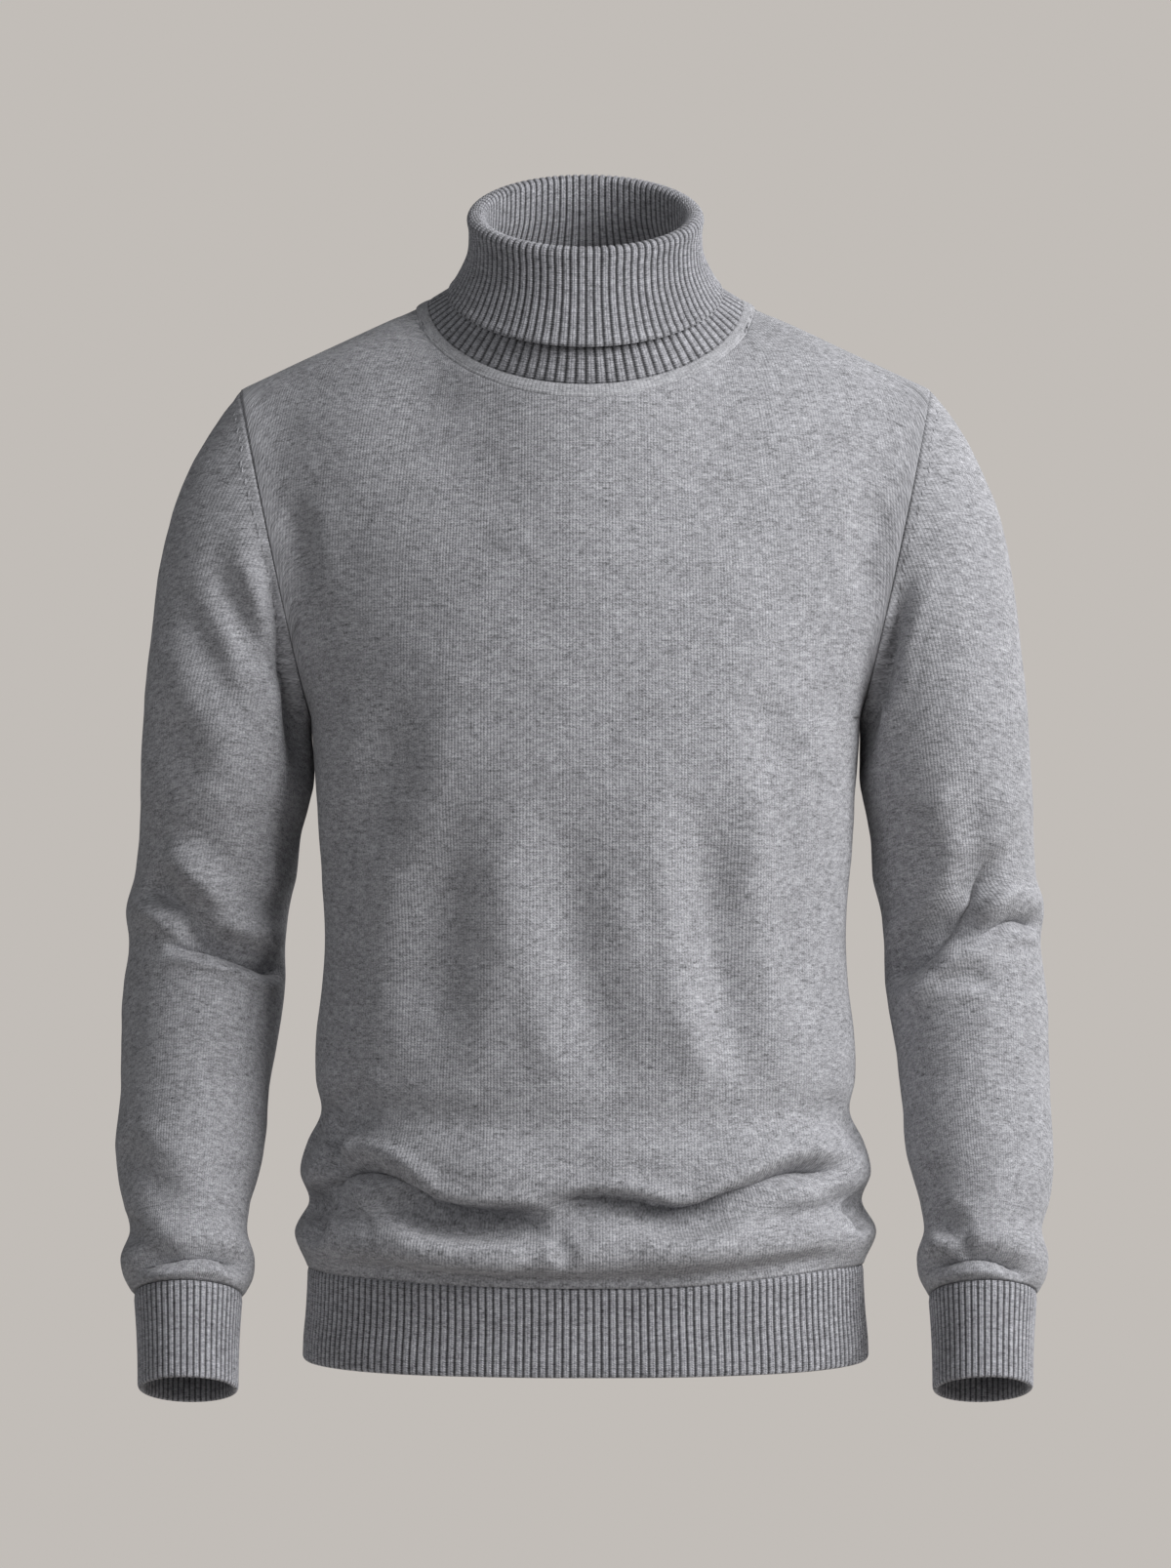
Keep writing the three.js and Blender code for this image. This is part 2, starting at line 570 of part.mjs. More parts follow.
add('front_panel', panelFromGrids(front.outer, front.inner), GREY.jersey);
add('back_panel', panelFromGrids(back.outer, back.inner), GREY.jersey);
for (const [name, side] of [['right', -1], ['left', 1]]) {
  add(`sleeve_${name}`, tubeFromRings(sleeveRings(side)), GREY.jersey);
  add(`cuff_${name}`, tubeFromRings(cuffRings(side)), GREY.rib);
}
add('hem_rib', tubeFromRings(hemRings()), GREY.rib);
add('neck_band', tubeFromRings(neckBandRings()), GREY.band);
add('roll_collar', tubeFromRings(collarRings()), GREY.rib);

export default sweater;
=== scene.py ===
import logging
import math
from dataclasses import dataclass, field
from enum import Enum

import bpy
import numpy as np
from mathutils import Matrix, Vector


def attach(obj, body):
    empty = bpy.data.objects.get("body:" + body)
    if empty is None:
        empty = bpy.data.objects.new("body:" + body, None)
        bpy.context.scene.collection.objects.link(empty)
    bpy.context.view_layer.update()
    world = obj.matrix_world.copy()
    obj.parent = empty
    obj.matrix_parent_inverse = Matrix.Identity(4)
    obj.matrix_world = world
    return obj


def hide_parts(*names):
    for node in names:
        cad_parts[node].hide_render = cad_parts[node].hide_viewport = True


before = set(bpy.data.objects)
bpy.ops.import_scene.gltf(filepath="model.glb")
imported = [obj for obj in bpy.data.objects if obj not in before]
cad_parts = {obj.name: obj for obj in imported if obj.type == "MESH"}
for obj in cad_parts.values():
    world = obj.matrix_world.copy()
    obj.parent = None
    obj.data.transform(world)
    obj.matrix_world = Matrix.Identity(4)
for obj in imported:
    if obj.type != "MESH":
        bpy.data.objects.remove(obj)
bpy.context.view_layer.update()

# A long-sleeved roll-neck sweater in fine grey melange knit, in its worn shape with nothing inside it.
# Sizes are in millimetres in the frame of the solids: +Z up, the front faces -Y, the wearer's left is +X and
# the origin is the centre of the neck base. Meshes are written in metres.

MM = 0.001
BODY = "root"
KNIT_MAP = "knit"

SEAM_GAP = 0.08
JERSEY_WALL = 2.0
RIB_WALL = 2.2
SECTION_POWER = 2.4
UNDERARM = (172.0, -262.0)
SHOULDER_POINT = (216.0, -56.0)
BODY_BOTTOM_Z = -604.2
NECK_POINT_SHARE = 0.66
ARMHOLE_ROWS = 72

logging.basicConfig(level=logging.INFO, format="%(levelname)s %(message)s")
log = logging.getLogger("sweater")

Grid = np.ndarray


class Facing(Enum):
    """The two halves of the body, as the sign of their y."""

    FRONT = -1
    BACK = 1


class Side(Enum):
    """The wearer's two sides, as the sign of their x."""

    LEFT = 1
    RIGHT = -1


class Seen(Enum):
    """The plane in which a crease is drawn, as the two axes that it uses."""

    FACE = (0, 2)
    SIDE = (1, 2)


# Curves and grids


def mix(a: Grid | float, b: Grid | float, share: Grid | float) -> Grid | float:
    """The value a share of the way from a to b."""
    return a + (b - a) * share


def smoothstep(value: Grid | float, low: float, high: float) -> Grid:
    """A soft step from 0 at low to 1 at high."""
    t = np.clip((np.asarray(value, dtype=float) - low) / (high - low), 0.0, 1.0)
    return t * t * (3.0 - 2.0 * t)


def round_section(share: Grid | float, power: float) -> Grid:
    """Depth share of a rounded section at a width share."""
    return np.maximum(0.0, 1.0 - np.abs(share) ** power) ** (1.0 / power)


def unit(vectors: Grid) -> Grid:
    """The vectors at length 1."""
    return vectors / np.maximum(np.linalg.norm(vectors, axis=-1, keepdims=True), 1e-9)


def smooth_track(stations: Grid, values: Grid, at: Grid) -> Grid:
    """Values on a smooth curve through a table's rows.

    Args:
        stations: rising place of each row.
        values: one row of numbers per station.
        at: the places wanted.

    Returns:
        One row of numbers for each place in at.
    """
    stations = np.asarray(stations, dtype=float)
    values = np.asarray(values, dtype=float)
    gaps = np.diff(stations)[:, None]
    slopes = np.diff(values, axis=0) / gaps
    tangents = np.empty_like(values)
    tangents[0], tangents[-1] = slopes[0], slopes[-1]
    tangents[1:-1] = (slopes[:-1] * gaps[1:] + slopes[1:] * gaps[:-1]) / (gaps[:-1] + gaps[1:])
    k = np.clip(np.searchsorted(stations, at, side="right") - 1, 0, len(stations) - 2)
    span = gaps[k]
    t = ((np.asarray(at) - stations[k])[:, None]) / span
    t2, t3 = t * t, t * t * t
    return (
        (2 * t3 - 3 * t2 + 1) * values[k]
        + (t3 - 2 * t2 + t) * span * tangents[k]
        + (3 * t2 - 2 * t3) * values[k + 1]
        + (t3 - t2) * span * tangents[k + 1]
    )


def lengths_along(points: Grid, axis: int) -> Grid:
    """Distance run along one axis of a grid of points, from its start.

    Args:
        points: a grid of points, with their coordinates last.
        axis: the axis to run along.

    Returns:
        Distances, one for each point.
    """
    steps = np.linalg.norm(np.diff(points, axis=axis), axis=-1)
    start = np.zeros_like(np.take(steps, [0], axis=axis))
    return np.concatenate([start, np.cumsum(steps, axis=axis)], axis=axis)


def grid_normals(grid: Grid, closed: bool, centres: Grid) -> Grid:
    """Unit normals of a grid, pointing away from each row's centre.

    Args:
        grid: rows by columns by 3.
        closed: whether the last column meets the first.
        centres: one point per row.

    Returns:
        An array of the grid's shape.
    """
    if closed:
        across = np.roll(grid, -1, axis=1) - np.roll(grid, 1, axis=1)
    else:
        across = np.gradient(grid, axis=1)
    along = np.gradient(grid, axis=0)
    normals = unit(np.cross(across, along))
    outward = np.sum(normals * (grid - centres[:, None, :]), axis=-1, keepdims=True)
    return np.where(outward < 0, -normals, normals)


@dataclass(frozen=True)
class Crease:
    """A soft ridge (rise above 0) or trough (below 0) along a line on the cloth.

    lip raises its two shoulders against it, skew makes the side above a line drawn towards +x gentler and
    the other steeper, fade is the share of its length over which each end rises, and a power below 2 makes
    its bottom sharp. A side keeps it to one side of the garment. The cloth above the line droops over it by
    hang, or where hang is below 0 the cloth under the line rides up over it.
    """

    line: tuple[tuple[float, float], ...]
    width: float
    rise: float
    lip: float = 0.3
    skew: float = 0.0
    fade: tuple[float, float] = (0.3, 0.3)
    power: float = 2.0
    seen: Seen = Seen.FACE
    side: Side | None = None
    hang: float = 0.0

    def path(self) -> Grid:
        """Points close together on a smooth curve through the line's corners.

        Returns:
            Points by 2.
        """
        corners = np.array(self.line, dtype=float)
        runs = np.concatenate([[0.0], np.cumsum(np.linalg.norm(np.diff(corners, axis=0), axis=1))])
        count = 6 * (len(corners) - 1) + 1
        return smooth_track(runs, corners, np.linspace(0.0, runs[-1], count))

    def shift(self, points: Grid) -> Grid:
        """How far the crease moves each point: along its normal, then along the two axes it is seen in.

        Args:
            points: any number of points by 3.

        Returns:
            Three numbers for each point.
        """
        flat = points[:, list(self.seen.value)]
        path = self.path()
        reach = 3.4 * self.width
        low, high = path.min(axis=0) - reach, path.max(axis=0) + reach
        near = np.all((flat > low) & (flat < high), axis=1)
        moves = np.zeros((len(points), 3))
        if not near.any():
            return moves
        p = flat[near][:, None, :]
        starts, steps = path[:-1], np.diff(path, axis=0)
        sizes = np.linalg.norm(steps, axis=1)
        t = np.clip(np.sum((p - starts) * steps, axis=-1) / sizes ** 2, 0.0, 1.0)
        gap = p - (starts + t[..., None] * steps)
        distance = np.linalg.norm(gap, axis=-1)
        best = distance.argmin(axis=1)
        rows = np.arange(len(best))
        before = np.concatenate([[0.0], np.cumsum(sizes)])
        share = (before[best] + t[rows, best] * sizes[best]) / before[-1]
        turn = steps[best, 0] * gap[rows, best, 1] - steps[best, 1] * gap[rows, best, 0]
        signed = distance[rows, best] / self.width * np.sign(turn)
        aside = np.abs(signed) / (1.0 + self.skew * np.sign(turn))
        profile = np.exp(-aside ** self.power) - self.lip * np.exp(-((aside - 1.9) / 0.75) ** 2)
        ends = smoothstep(share, -1e-6, max(self.fade[0], 1e-3))
        ends = ends * smoothstep(1.0 - share, -1e-6, max(self.fade[1], 1e-3))
        over = smoothstep(signed * math.copysign(1.0, self.hang), -0.45, 0.45)
        over = over * np.exp(-(signed / 2.1) ** 2)
        aim = np.stack([steps[best, 1], -steps[best, 0]], axis=-1) / sizes[best][:, None]
        moves[near, 0] = self.rise * profile * ends
        moves[near, 1:] = aim * (self.hang * over * ends)[:, None]
        return moves


def crease_relief(grid: Grid, normals: Grid, creases: tuple[Crease, ...], facing: float) -> Grid:
    """How far a set of creases moves each point of a grid.

    Args:
        grid: rows by columns by 3.
        normals: the grid's unit normals.
        creases: the creases of one face of the piece.
        facing: -1 for the face towards -y, 1 for the other.

    Returns:
        Moves, rows by columns by 3.
    """
    flat = grid.reshape(-1, 3)
    turned = normals.reshape(-1, 3)
    total = np.zeros_like(flat)
    face_weight = smoothstep(turned[:, 1] * facing, -0.05, 0.45)
    side_weight = smoothstep(np.abs(turned[:, 0]), 0.25, 0.75)
    half = smoothstep(flat[:, 1] * facing, -14.0, 2.0)
    for crease in creases:
        weight = face_weight if crease.seen is Seen.FACE else side_weight * half
        if crease.side is not None:
            weight = weight * (flat[:, 0] * crease.side.value > 0)
        moves = crease.shift(flat) * weight[:, None]
        total += moves[:, :1] * turned
        total[:, list(crease.seen.value)] += moves[:, 1:]
    return total.reshape(grid.shape)


@dataclass(frozen=True)
class Unevenness:
    """Slow waves in the cloth that no single fold accounts for, the same each time for one seed."""

    seed: int
    height: float
    wavelengths: tuple[float, float]
    waves: int = 14

    def height_at(self, points: Grid) -> Grid:
        """The waves' height at each point of a grid.

        Args:
            points: any array of points.

        Returns:
            Heights in mm, one for each point.
        """
        rng = np.random.default_rng(self.seed)
        total = np.zeros(points.shape[:-1])
        for _ in range(self.waves):
            direction = unit(rng.normal(size=3))
            length = rng.uniform(*self.wavelengths)
            total += np.sin(points @ direction * (2.0 * math.pi / length) + rng.uniform(0.0, 2.0 * math.pi))
        return self.height * total / math.sqrt(self.waves)


# Meshes


def quads(rows: int, columns: int, close_rows: bool, close_columns: bool) -> tuple[Grid, Grid]:
    """The quads of a grid.

    Args:
        rows: rows of points.
        columns: points in a row.
        close_rows: whether the last row meets the first.
        close_columns: whether the last column meets the first.

    Returns:
        Corner indices into the points, and into a map with one more row and column.
    """
    r, c = np.meshgrid(
        np.arange(rows if close_rows else rows - 1),
        np.arange(columns if close_columns else columns - 1),
        indexing="ij",
    )
    corners = [(r, c), (r, c + 1), (r + 1, c + 1), (r + 1, c)]
    faces = [(a % rows) * columns + b % columns for a, b in corners]
    mapped = [a * (columns + 1) + b for a, b in corners]
    return np.stack(faces, -1).reshape(-1, 4), np.stack(mapped, -1).reshape(-1, 4)


@dataclass
class Shell:
    """A closed wall of cloth as points, faces and a knit map in metres."""

    points: Grid
    faces: Grid
    knit: Grid
    knit_faces: Grid

    @classmethod
    def tube(cls, rings: Grid, knit: Grid) -> "Shell":
        """A wall from rings of points, each joined to the next and the last to the first.

        Args:
            rings: rings by points by 3.
            knit: map with one more row and column than the rings, by 2.

        Returns:
            The closed wall.
        """
        rows, columns = rings.shape[:2]
        faces, mapped = quads(rows, columns, True, True)
        return cls(rings.reshape(-1, 3), faces, knit.reshape(-1, 2), mapped).outward()

    @classmethod
    def panel(cls, outer: Grid, inner: Grid, knit: Grid) -> "Shell":
        """A wall from two equal grids, with a rim all round.

        Args:
            outer: rows by columns by 3.
            inner: the same for the inside.
            knit: rows by columns by 2.

        Returns:
            The closed wall.
        """
        loops = np.concatenate([outer, inner[:, ::-1]], axis=1)
        rows, columns = loops.shape[:2]
        faces, mapped = quads(rows, columns, False, True)
        loop_map = np.concatenate([knit, knit[:, ::-1], knit[:, :1]], axis=1)
        j = np.arange(columns // 2 - 1)
        caps = []
        for row, flip in ((0, True), (rows - 1, False)):
            cap = np.stack([j, j + 1, columns - 2 - j, columns - 1 - j], -1) + row * columns
            caps.append(cap[:, ::-1] if flip else cap)
        cap_faces = np.concatenate(caps)
        cap_map = (cap_faces // columns) * (columns + 1) + cap_faces % columns
        return cls(
            loops.reshape(-1, 3),
            np.concatenate([faces, cap_faces]),
            loop_map.reshape(-1, 2),
            np.concatenate([mapped, cap_map]),
        ).outward()

    def outward(self) -> "Shell":
        """The same wall with all its faces turned outward.

        Returns:
            This shell.
        """
        a, b, c, d = (self.points[self.faces[:, k]] for k in range(4))
        volume = np.sum(a * np.cross(b, c)) + np.sum(a * np.cross(c, d))
        if volume < 0:
            self.faces = self.faces[:, ::-1]
            self.knit_faces = self.knit_faces[:, ::-1]
        return self

    def object(self, name: str, material: bpy.types.Material) -> bpy.types.Object:
        """The wall as a smooth mesh object with its material.

        Args:
            name: the object's name.
            material: its finish.

        Returns:
            The linked object.
        """
        mesh = bpy.data.meshes.new(name)
        mesh.from_pydata((self.points * MM).tolist(), [], self.faces.tolist())
        layer = mesh.uv_layers.new(name=KNIT_MAP)
        layer.data.foreach_set("uv", (self.knit[self.knit_faces.reshape(-1)] * MM).reshape(-1))
        mesh.polygons.foreach_set("use_smooth", np.ones(len(mesh.polygons), dtype=bool))
        mesh.materials.append(material)
        mesh.update()
        piece = bpy.data.objects.new(name, mesh)
        bpy.context.scene.collection.objects.link(piece)
        return piece


def place(piece: bpy.types.Object, node: str | None) -> bpy.types.Object:
    """Puts a piece on the body and in place of its solid.

    Args:
        piece: the new mesh object.
        node: the solid that it stands for, if any.

    Returns:
        The piece.
    """
    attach(piece, BODY)
    if node is not None:
        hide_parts(node)
    low, high = (np.array([f(v.co[k] for v in piece.data.vertices) for k in range(3)]) for f in (min, max))
    log.info("%s: %d faces, %s m", piece.name, len(piece.data.polygons), np.round(high - low, 3))
    return piece


# Finishes

Plug = bpy.types.NodeSocket | float | tuple


class NodeBench:
    """A material's node tree, with short calls for the few nodes that a knit needs."""

    def __init__(self, name: str) -> None:
        """Starts an empty material of that name.

        Args:
            name: the material's name.
        """
        self.material = bpy.data.materials.new(name)
        self.material.use_nodes = True
        self.tree = self.material.node_tree
        self.tree.nodes.clear()

    def plug(self, value: Plug, socket: bpy.types.NodeSocket) -> None:
        """Links a socket, or sets a plain value, on an input.

        Args:
            value: an output socket or a plain value.
            socket: the input.
        """
        if isinstance(value, bpy.types.NodeSocket):
            self.tree.links.new(value, socket)
        else:
            socket.default_value = value

    def node(self, kind: str, *inputs: Plug, **settings: object) -> bpy.types.Node:
        """A new node with its first inputs plugged and its settings set.

        Args:
            kind: the node's type.
            inputs: values for its first inputs, in order.
            settings: its properties by name.

        Returns:
            The node.
        """
        made = self.tree.nodes.new(kind)
        for key, value in settings.items():
            setattr(made, key, value)
        for socket, value in zip(made.inputs, inputs):
            self.plug(value, socket)
        return made

    def maths(self, operation: str, *inputs: Plug, clamp: bool = False) -> bpy.types.NodeSocket:
        """The result of a math node."""
        return self.node("ShaderNodeMath", *inputs, operation=operation, use_clamp=clamp).outputs[0]

    def combine(self, x: Plug, y: Plug, z: Plug = 0.0) -> bpy.types.NodeSocket:
        """A vector from three values."""
        return self.node("ShaderNodeCombineXYZ", x, y, z).outputs[0]

    def patch(self, across: Plug, along: Plug, width: float, length: float, layer: float) -> bpy.types.NodeSocket:
        """A place in patches of a size, on a layer of its own."""
        return self.combine(self.maths("DIVIDE", across, width), self.maths("DIVIDE", along, length), layer)

    def wave(self, turns: Plug) -> bpy.types.NodeSocket:
        """A wave from 0 to 1, once for each turn."""
        sine = self.maths("SINE", self.maths("MULTIPLY", turns, 2.0 * math.pi))
        return self.maths("MULTIPLY_ADD", sine, 0.5, 0.5)

    def noise(self, vector: Plug, detail: float, roughness: float = 0.5) -> bpy.types.NodeSocket:
        """Noise from 0 to 1 at a place, with features about 1 wide.

        Args:
            vector: the place.
            detail: how many finer layers it has.
            roughness: how strong they are.

        Returns:
            The noise's value.
        """
        made = self.node("ShaderNodeTexNoise", vector, noise_dimensions="3D")
        made.inputs["Scale"].default_value = 1.0
        made.inputs["Detail"].default_value = detail
        made.inputs["Roughness"].default_value = roughness
        return made.outputs["Fac"]

    def step(self, value: Plug, low: float, high: float, start: float, end: float) -> bpy.types.NodeSocket:
        """A soft step from start at low to end at high."""
        made = self.node("ShaderNodeMapRange", value, low, high, start, end, interpolation_type="SMOOTHSTEP")
        return made.outputs[0]

    def scaled(self, colour: Plug, factor: Plug) -> bpy.types.NodeSocket:
        """A colour times a value.

        Args:
            colour: the colour.
            factor: the value.

        Returns:
            The scaled colour.
        """
        made = self.node("ShaderNodeVectorMath", operation="SCALE")
        self.plug(colour, made.inputs[0])
        self.plug(factor, made.inputs["Scale"])
        return made.outputs[0]


@dataclass(frozen=True)
class KnitFinish:
    """A fine wool knit: its mean grey, its mixed yarn, the size of its stitches and the shade painted into the
    grooves between them.
    """

    name: str
    grey: tuple[float, float, float]
    wale: float
    course: float
    ribbed: bool
    contrast: float = 1.0
    stitch_depth: float = 0.25
    # Painted shade: the grey's factor at the bottom of a rib groove, standing in for the shade that falls there.
    painted_groove_shade: float = 0.30
    sheen: float = 0.12

    def yarn(self, bench: NodeBench, across: Plug, along: Plug) -> bpy.types.NodeSocket:
        """Light and dark fibres mixed along each course, as a factor round 1.

        Args:
            bench: the material's nodes.
            across: place across the wales in mm.
            along: place along the wales in mm.

        Returns:
            The factor that the grey is multiplied by.
        """
        row = bench.maths("FLOOR", bench.maths("DIVIDE", along, self.course))
        dash = bench.noise(
            bench.combine(bench.maths("DIVIDE", across, 4.6), bench.maths("MULTIPLY", row, 3.17)), 2.0, 0.6
        )
        cloud = bench.noise(bench.patch(across, along, 8.0, 2.4, 4.0), 3.0, 0.65)
        broad = bench.noise(bench.patch(across, along, 38.0, 17.0, 9.0), 2.0, 0.5)
        fibre = bench.noise(bench.patch(across, along, 1.3, 0.9, 2.0), 1.0, 0.5)
        total = bench.maths("MULTIPLY", bench.maths("SUBTRACT", dash, 0.5), 1.3 * self.contrast)
        for part, weight in ((cloud, 1.3), (broad, 0.35), (fibre, 1.5)):
            shift = bench.maths("MULTIPLY", bench.maths("SUBTRACT", part, 0.5), weight * self.contrast)
            total = bench.maths("ADD", total, shift)
        return bench.maths("MAXIMUM", bench.maths("ADD", total, 1.0), 0.25)

    def jersey_stitches(
        self, bench: NodeBench, across: Plug, along: Plug
    ) -> tuple[bpy.types.NodeSocket, bpy.types.NodeSocket]:
        """Height of plain stitches, each a small V, and painted shade darker between the wales.

        Args:
            bench: the material's nodes.
            across: place across the wales in mm.
            along: place along the wales in mm.

        Returns:
            Height from 0 to 1, and a painted shade factor, darker between the wales and a little lighter on their
            tops.
        """
        turns = bench.maths("DIVIDE", across, self.wale)
        wale = bench.maths("ABSOLUTE", bench.maths("SINE", bench.maths("MULTIPLY", turns, math.pi)))
        slant = bench.maths("PINGPONG", turns, 0.5)
        rows = bench.maths("ADD", bench.maths("DIVIDE", along, self.course), slant)
        wave = bench.wave(rows)
        body = bench.maths("POWER", wale, 0.6)
        height = bench.maths("MULTIPLY", body, bench.maths("MULTIPLY_ADD", wave, 0.35, 0.65))
        # Painted shade: darker in the grooves between wales, down to 0.89, and a touch lighter on the wale tops, up
        # to 1.03.
        return height, bench.step(wale, 0.0, 0.55, 0.89, 1.03)

    def rib_stitches(
        self, bench: NodeBench, across: Plug, along: Plug
    ) -> tuple[bpy.types.NodeSocket, bpy.types.NodeSocket]:
        """Height and painted shade of ribs, each of two columns of small round stitches, with shade painted dark
        into the grooves between ribs.

        Args:
            bench: the material's nodes.
            across: place across the ribs in mm.
            along: place along the ribs in mm.

        Returns:
            Height from 0 to 1, and a painted shade factor: darker in the grooves, lighter on the rib tops.
        """
        turns = bench.maths("DIVIDE", across, self.wale)
        rib = bench.maths("ABSOLUTE", bench.maths("SINE", bench.maths("MULTIPLY", turns, math.pi)))
        column = bench.maths("ABSOLUTE", bench.maths("SINE", bench.maths("MULTIPLY", turns, 2.0 * math.pi)))
        slant = bench.maths("PINGPONG", turns, 0.5)
        nub = bench.wave(bench.maths("ADD", bench.maths("DIVIDE", along, self.course), slant))
        body = bench.maths("POWER", column, 0.6)
        height = bench.maths("MULTIPLY", body, bench.maths("MULTIPLY_ADD", nub, 0.5, 0.5))
        beaded = bench.maths("MULTIPLY_ADD", nub, 0.3, bench.maths("SUBTRACT", rib, 0.15))
        # Painted shade and highlight: the grooves are painted dark, down to the painted groove shade, and the rib
        # tops a little lighter, up to 1.10.
        edge = bench.step(beaded, 0.12, 0.82, self.painted_groove_shade, 1.10)
        # Painted shade: a slight darkening where the two stitch columns of a rib meet, and in the groove.
        centre = bench.step(column, 0.0, 0.35, 0.96, 1.0)
        return height, bench.maths("MULTIPLY", edge, centre)

    def material(self) -> bpy.types.Material:
        """The finish as a material.

        Returns:
            The material.
        """
        bench = NodeBench(self.name)
        knit = bench.node("ShaderNodeUVMap", uv_map=KNIT_MAP).outputs[0]
        parts = bench.node("ShaderNodeSeparateXYZ", knit)
        across = bench.maths("DIVIDE", parts.outputs[0], MM)
        along = bench.maths("DIVIDE", parts.outputs[1], MM)
        stitches = self.rib_stitches if self.ribbed else self.jersey_stitches
        height, painted_stitch_shade = stitches(bench, across, along)
        # The yarn's tone is multiplied by the painted shade of the stitches: darker in the grooves, lighter on the
        # tops.
        factor = bench.maths("MULTIPLY", self.yarn(bench, across, along), painted_stitch_shade)
        colour = bench.scaled(self.grey, factor)
        fuzz = bench.noise(bench.patch(across, along, 0.8, 0.8, 6.0), 2.0, 0.6)
        relief = bench.maths("ADD", height, bench.maths("MULTIPLY", fuzz, 0.5))
        bump = bench.node("ShaderNodeBump")
        bump.inputs["Strength"].default_value = 0.9
        bump.inputs["Distance"].default_value = self.stitch_depth * MM
        bench.plug(relief, bump.inputs["Height"])
        shader = bench.node("ShaderNodeBsdfPrincipled")
        shader.inputs["Roughness"].default_value = 0.95
        shader.inputs["Specular IOR Level"].default_value = 0.18
        shader.inputs["Sheen Weight"].default_value = self.sheen
        shader.inputs["Sheen Roughness"].default_value = 0.55
        bench.plug(colour, shader.inputs["Base Color"])
        bench.plug(bump.outputs[0], shader.inputs["Normal"])
        output = bench.node("ShaderNodeOutputMaterial")
        bench.plug(shader.outputs[0], output.inputs["Surface"])
        return bench.material


# Neck


@dataclass(frozen=True)
class NeckRing:
    """A tilted, bent ring round the neck: its size, its centre line's y, its height and its slopes."""

    half_width: float
    front: float
    back: float
    centre: float
    height: float
    front_slope: float
    back_slope: float

    def row(self) -> tuple[float, ...]:
        """The sizes as a row of numbers."""
        return (
            self.half_width, self.front, self.back, self.centre, self.height, self.front_slope, self.back_slope,
        )


SLOPE_SOFTNESS = 15.0


def neck_rings(rows: Grid, angles: Grid) -> Grid:
    """Points of rings round the neck.

    Args:
        rows: one row of NeckRing numbers for each ring.
        angles: turn of each point from the centre front.

    Returns:
        Rings by points by 3.
    """
    half_width, front, back, centre, height, front_slope, back_slope = (
        np.atleast_2d(rows)[:, k][:, None] for k in range(7)
    )
    cos, sin = np.cos(angles)[None, :], np.sin(angles)[None, :]
    out = -np.where(cos > 0, front, back) * cos
    lean, bend = (front_slope + back_slope) / 2, (front_slope - back_slope) / 2
    z = height + lean * out - bend * (np.hypot(out, SLOPE_SOFTNESS) - SLOPE_SOFTNESS)
    return np.stack([half_width * sin, centre + out, z], axis=-1)


NECK_BASE = NeckRing(99, 88, 62, 0, -2, 0.7, 0.15)


@dataclass(frozen=True)
class BandRun:
    """How far the neck band reaches out from the neck base and down, at the side, front and back."""

    side: float = 7
    front: float = 4
    back: float = 5
    side_drop: float = 3
    front_drop: float = 7.4
    back_drop: float = 6.5

    def points(self, angles: Grid, share: float) -> Grid:
        """The line a share of the way from the neck base to the band's outer edge.

        Args:
            angles: turn of each point from the centre front.
            share: 0 at the neck base, 1 at the outer edge.

        Returns:
            Points by 3.
        """
        p = neck_rings(NECK_BASE.row(), angles)[0]
        cos, sin = np.cos(angles), np.sin(angles)
        front = cos > 0
        drop = mix(self.side_drop, np.where(front, self.front_drop, self.back_drop), cos ** 2)
        p[:, 0] += share * self.side * sin
        p[:, 1] -= share * np.where(front, self.front, self.back) * cos
        p[:, 2] -= share * drop
        return p


def neck_away(angles: Grid) -> Grid:
    """The outward direction that the band and the body share along their seam."""
    return unit(np.stack([np.sin(angles), -np.cos(angles), np.full_like(angles, 0.6)], axis=-1))


# Body


def seam_sag(points: Grid, reach_up: float, reach_down: float) -> Grid:
    """Points moved up or down so that the hem's seam sags at the front and lifts towards the wearer's left.

    Args:
        points: any array of points.
        reach_up: height over the seam at which nothing moves.
        reach_down: depth below the seam at which nothing moves.

    Returns:
        The moved points.
    """
    x, y, z = (points[..., k] for k in range(3))
    front = smoothstep(-y, -30.0, 70.0)
    sag = smooth_track(np.array([-190.0, -110, 0, 60, 110, 150, 190]),
                       np.array([[0.0], [-2.5], [-4.6], [-3.8], [-0.6], [2.2], [3.0]]), x.reshape(-1))[:, 0]
    over = z - BODY_BOTTOM_Z
    near = np.where(over > 0, 1 - smoothstep(over, 0.0, reach_up), 1 - smoothstep(-over, 0.0, reach_down))
    moved = points.copy()
    moved[..., 2] += sag.reshape(z.shape) * front * near
    return moved


@dataclass(frozen=True)
class BodyLevel:
    """The body's outline at one height below the underarm."""

    z: float
    half_width: float
    front: float
    back: float


BODY_LEVELS = (
    BodyLevel(-604.2, 174.5, 114, 113),
    BodyLevel(-584, 182.5, 124, 121),
    BodyLevel(-565, 173.5, 115, 112),
    BodyLevel(-547, 179, 120, 117),
    BodyLevel(-528, 174.5, 117, 113),
    BodyLevel(-510, 166, 113, 107),
    BodyLevel(-488, 169, 114, 108),
    BodyLevel(-460, 168.5, 114, 105),
    BodyLevel(-430, 165, 113, 101),
    BodyLevel(-400, 163.5, 113, 98),
    BodyLevel(-363, 165, 114, 98),
    BodyLevel(-335, 167, 115, 100),
    BodyLevel(-307, 169, 116, 103),
    BodyLevel(-284, 170.5, 116, 105),
    BodyLevel(-262, 172, 115, 106),
)

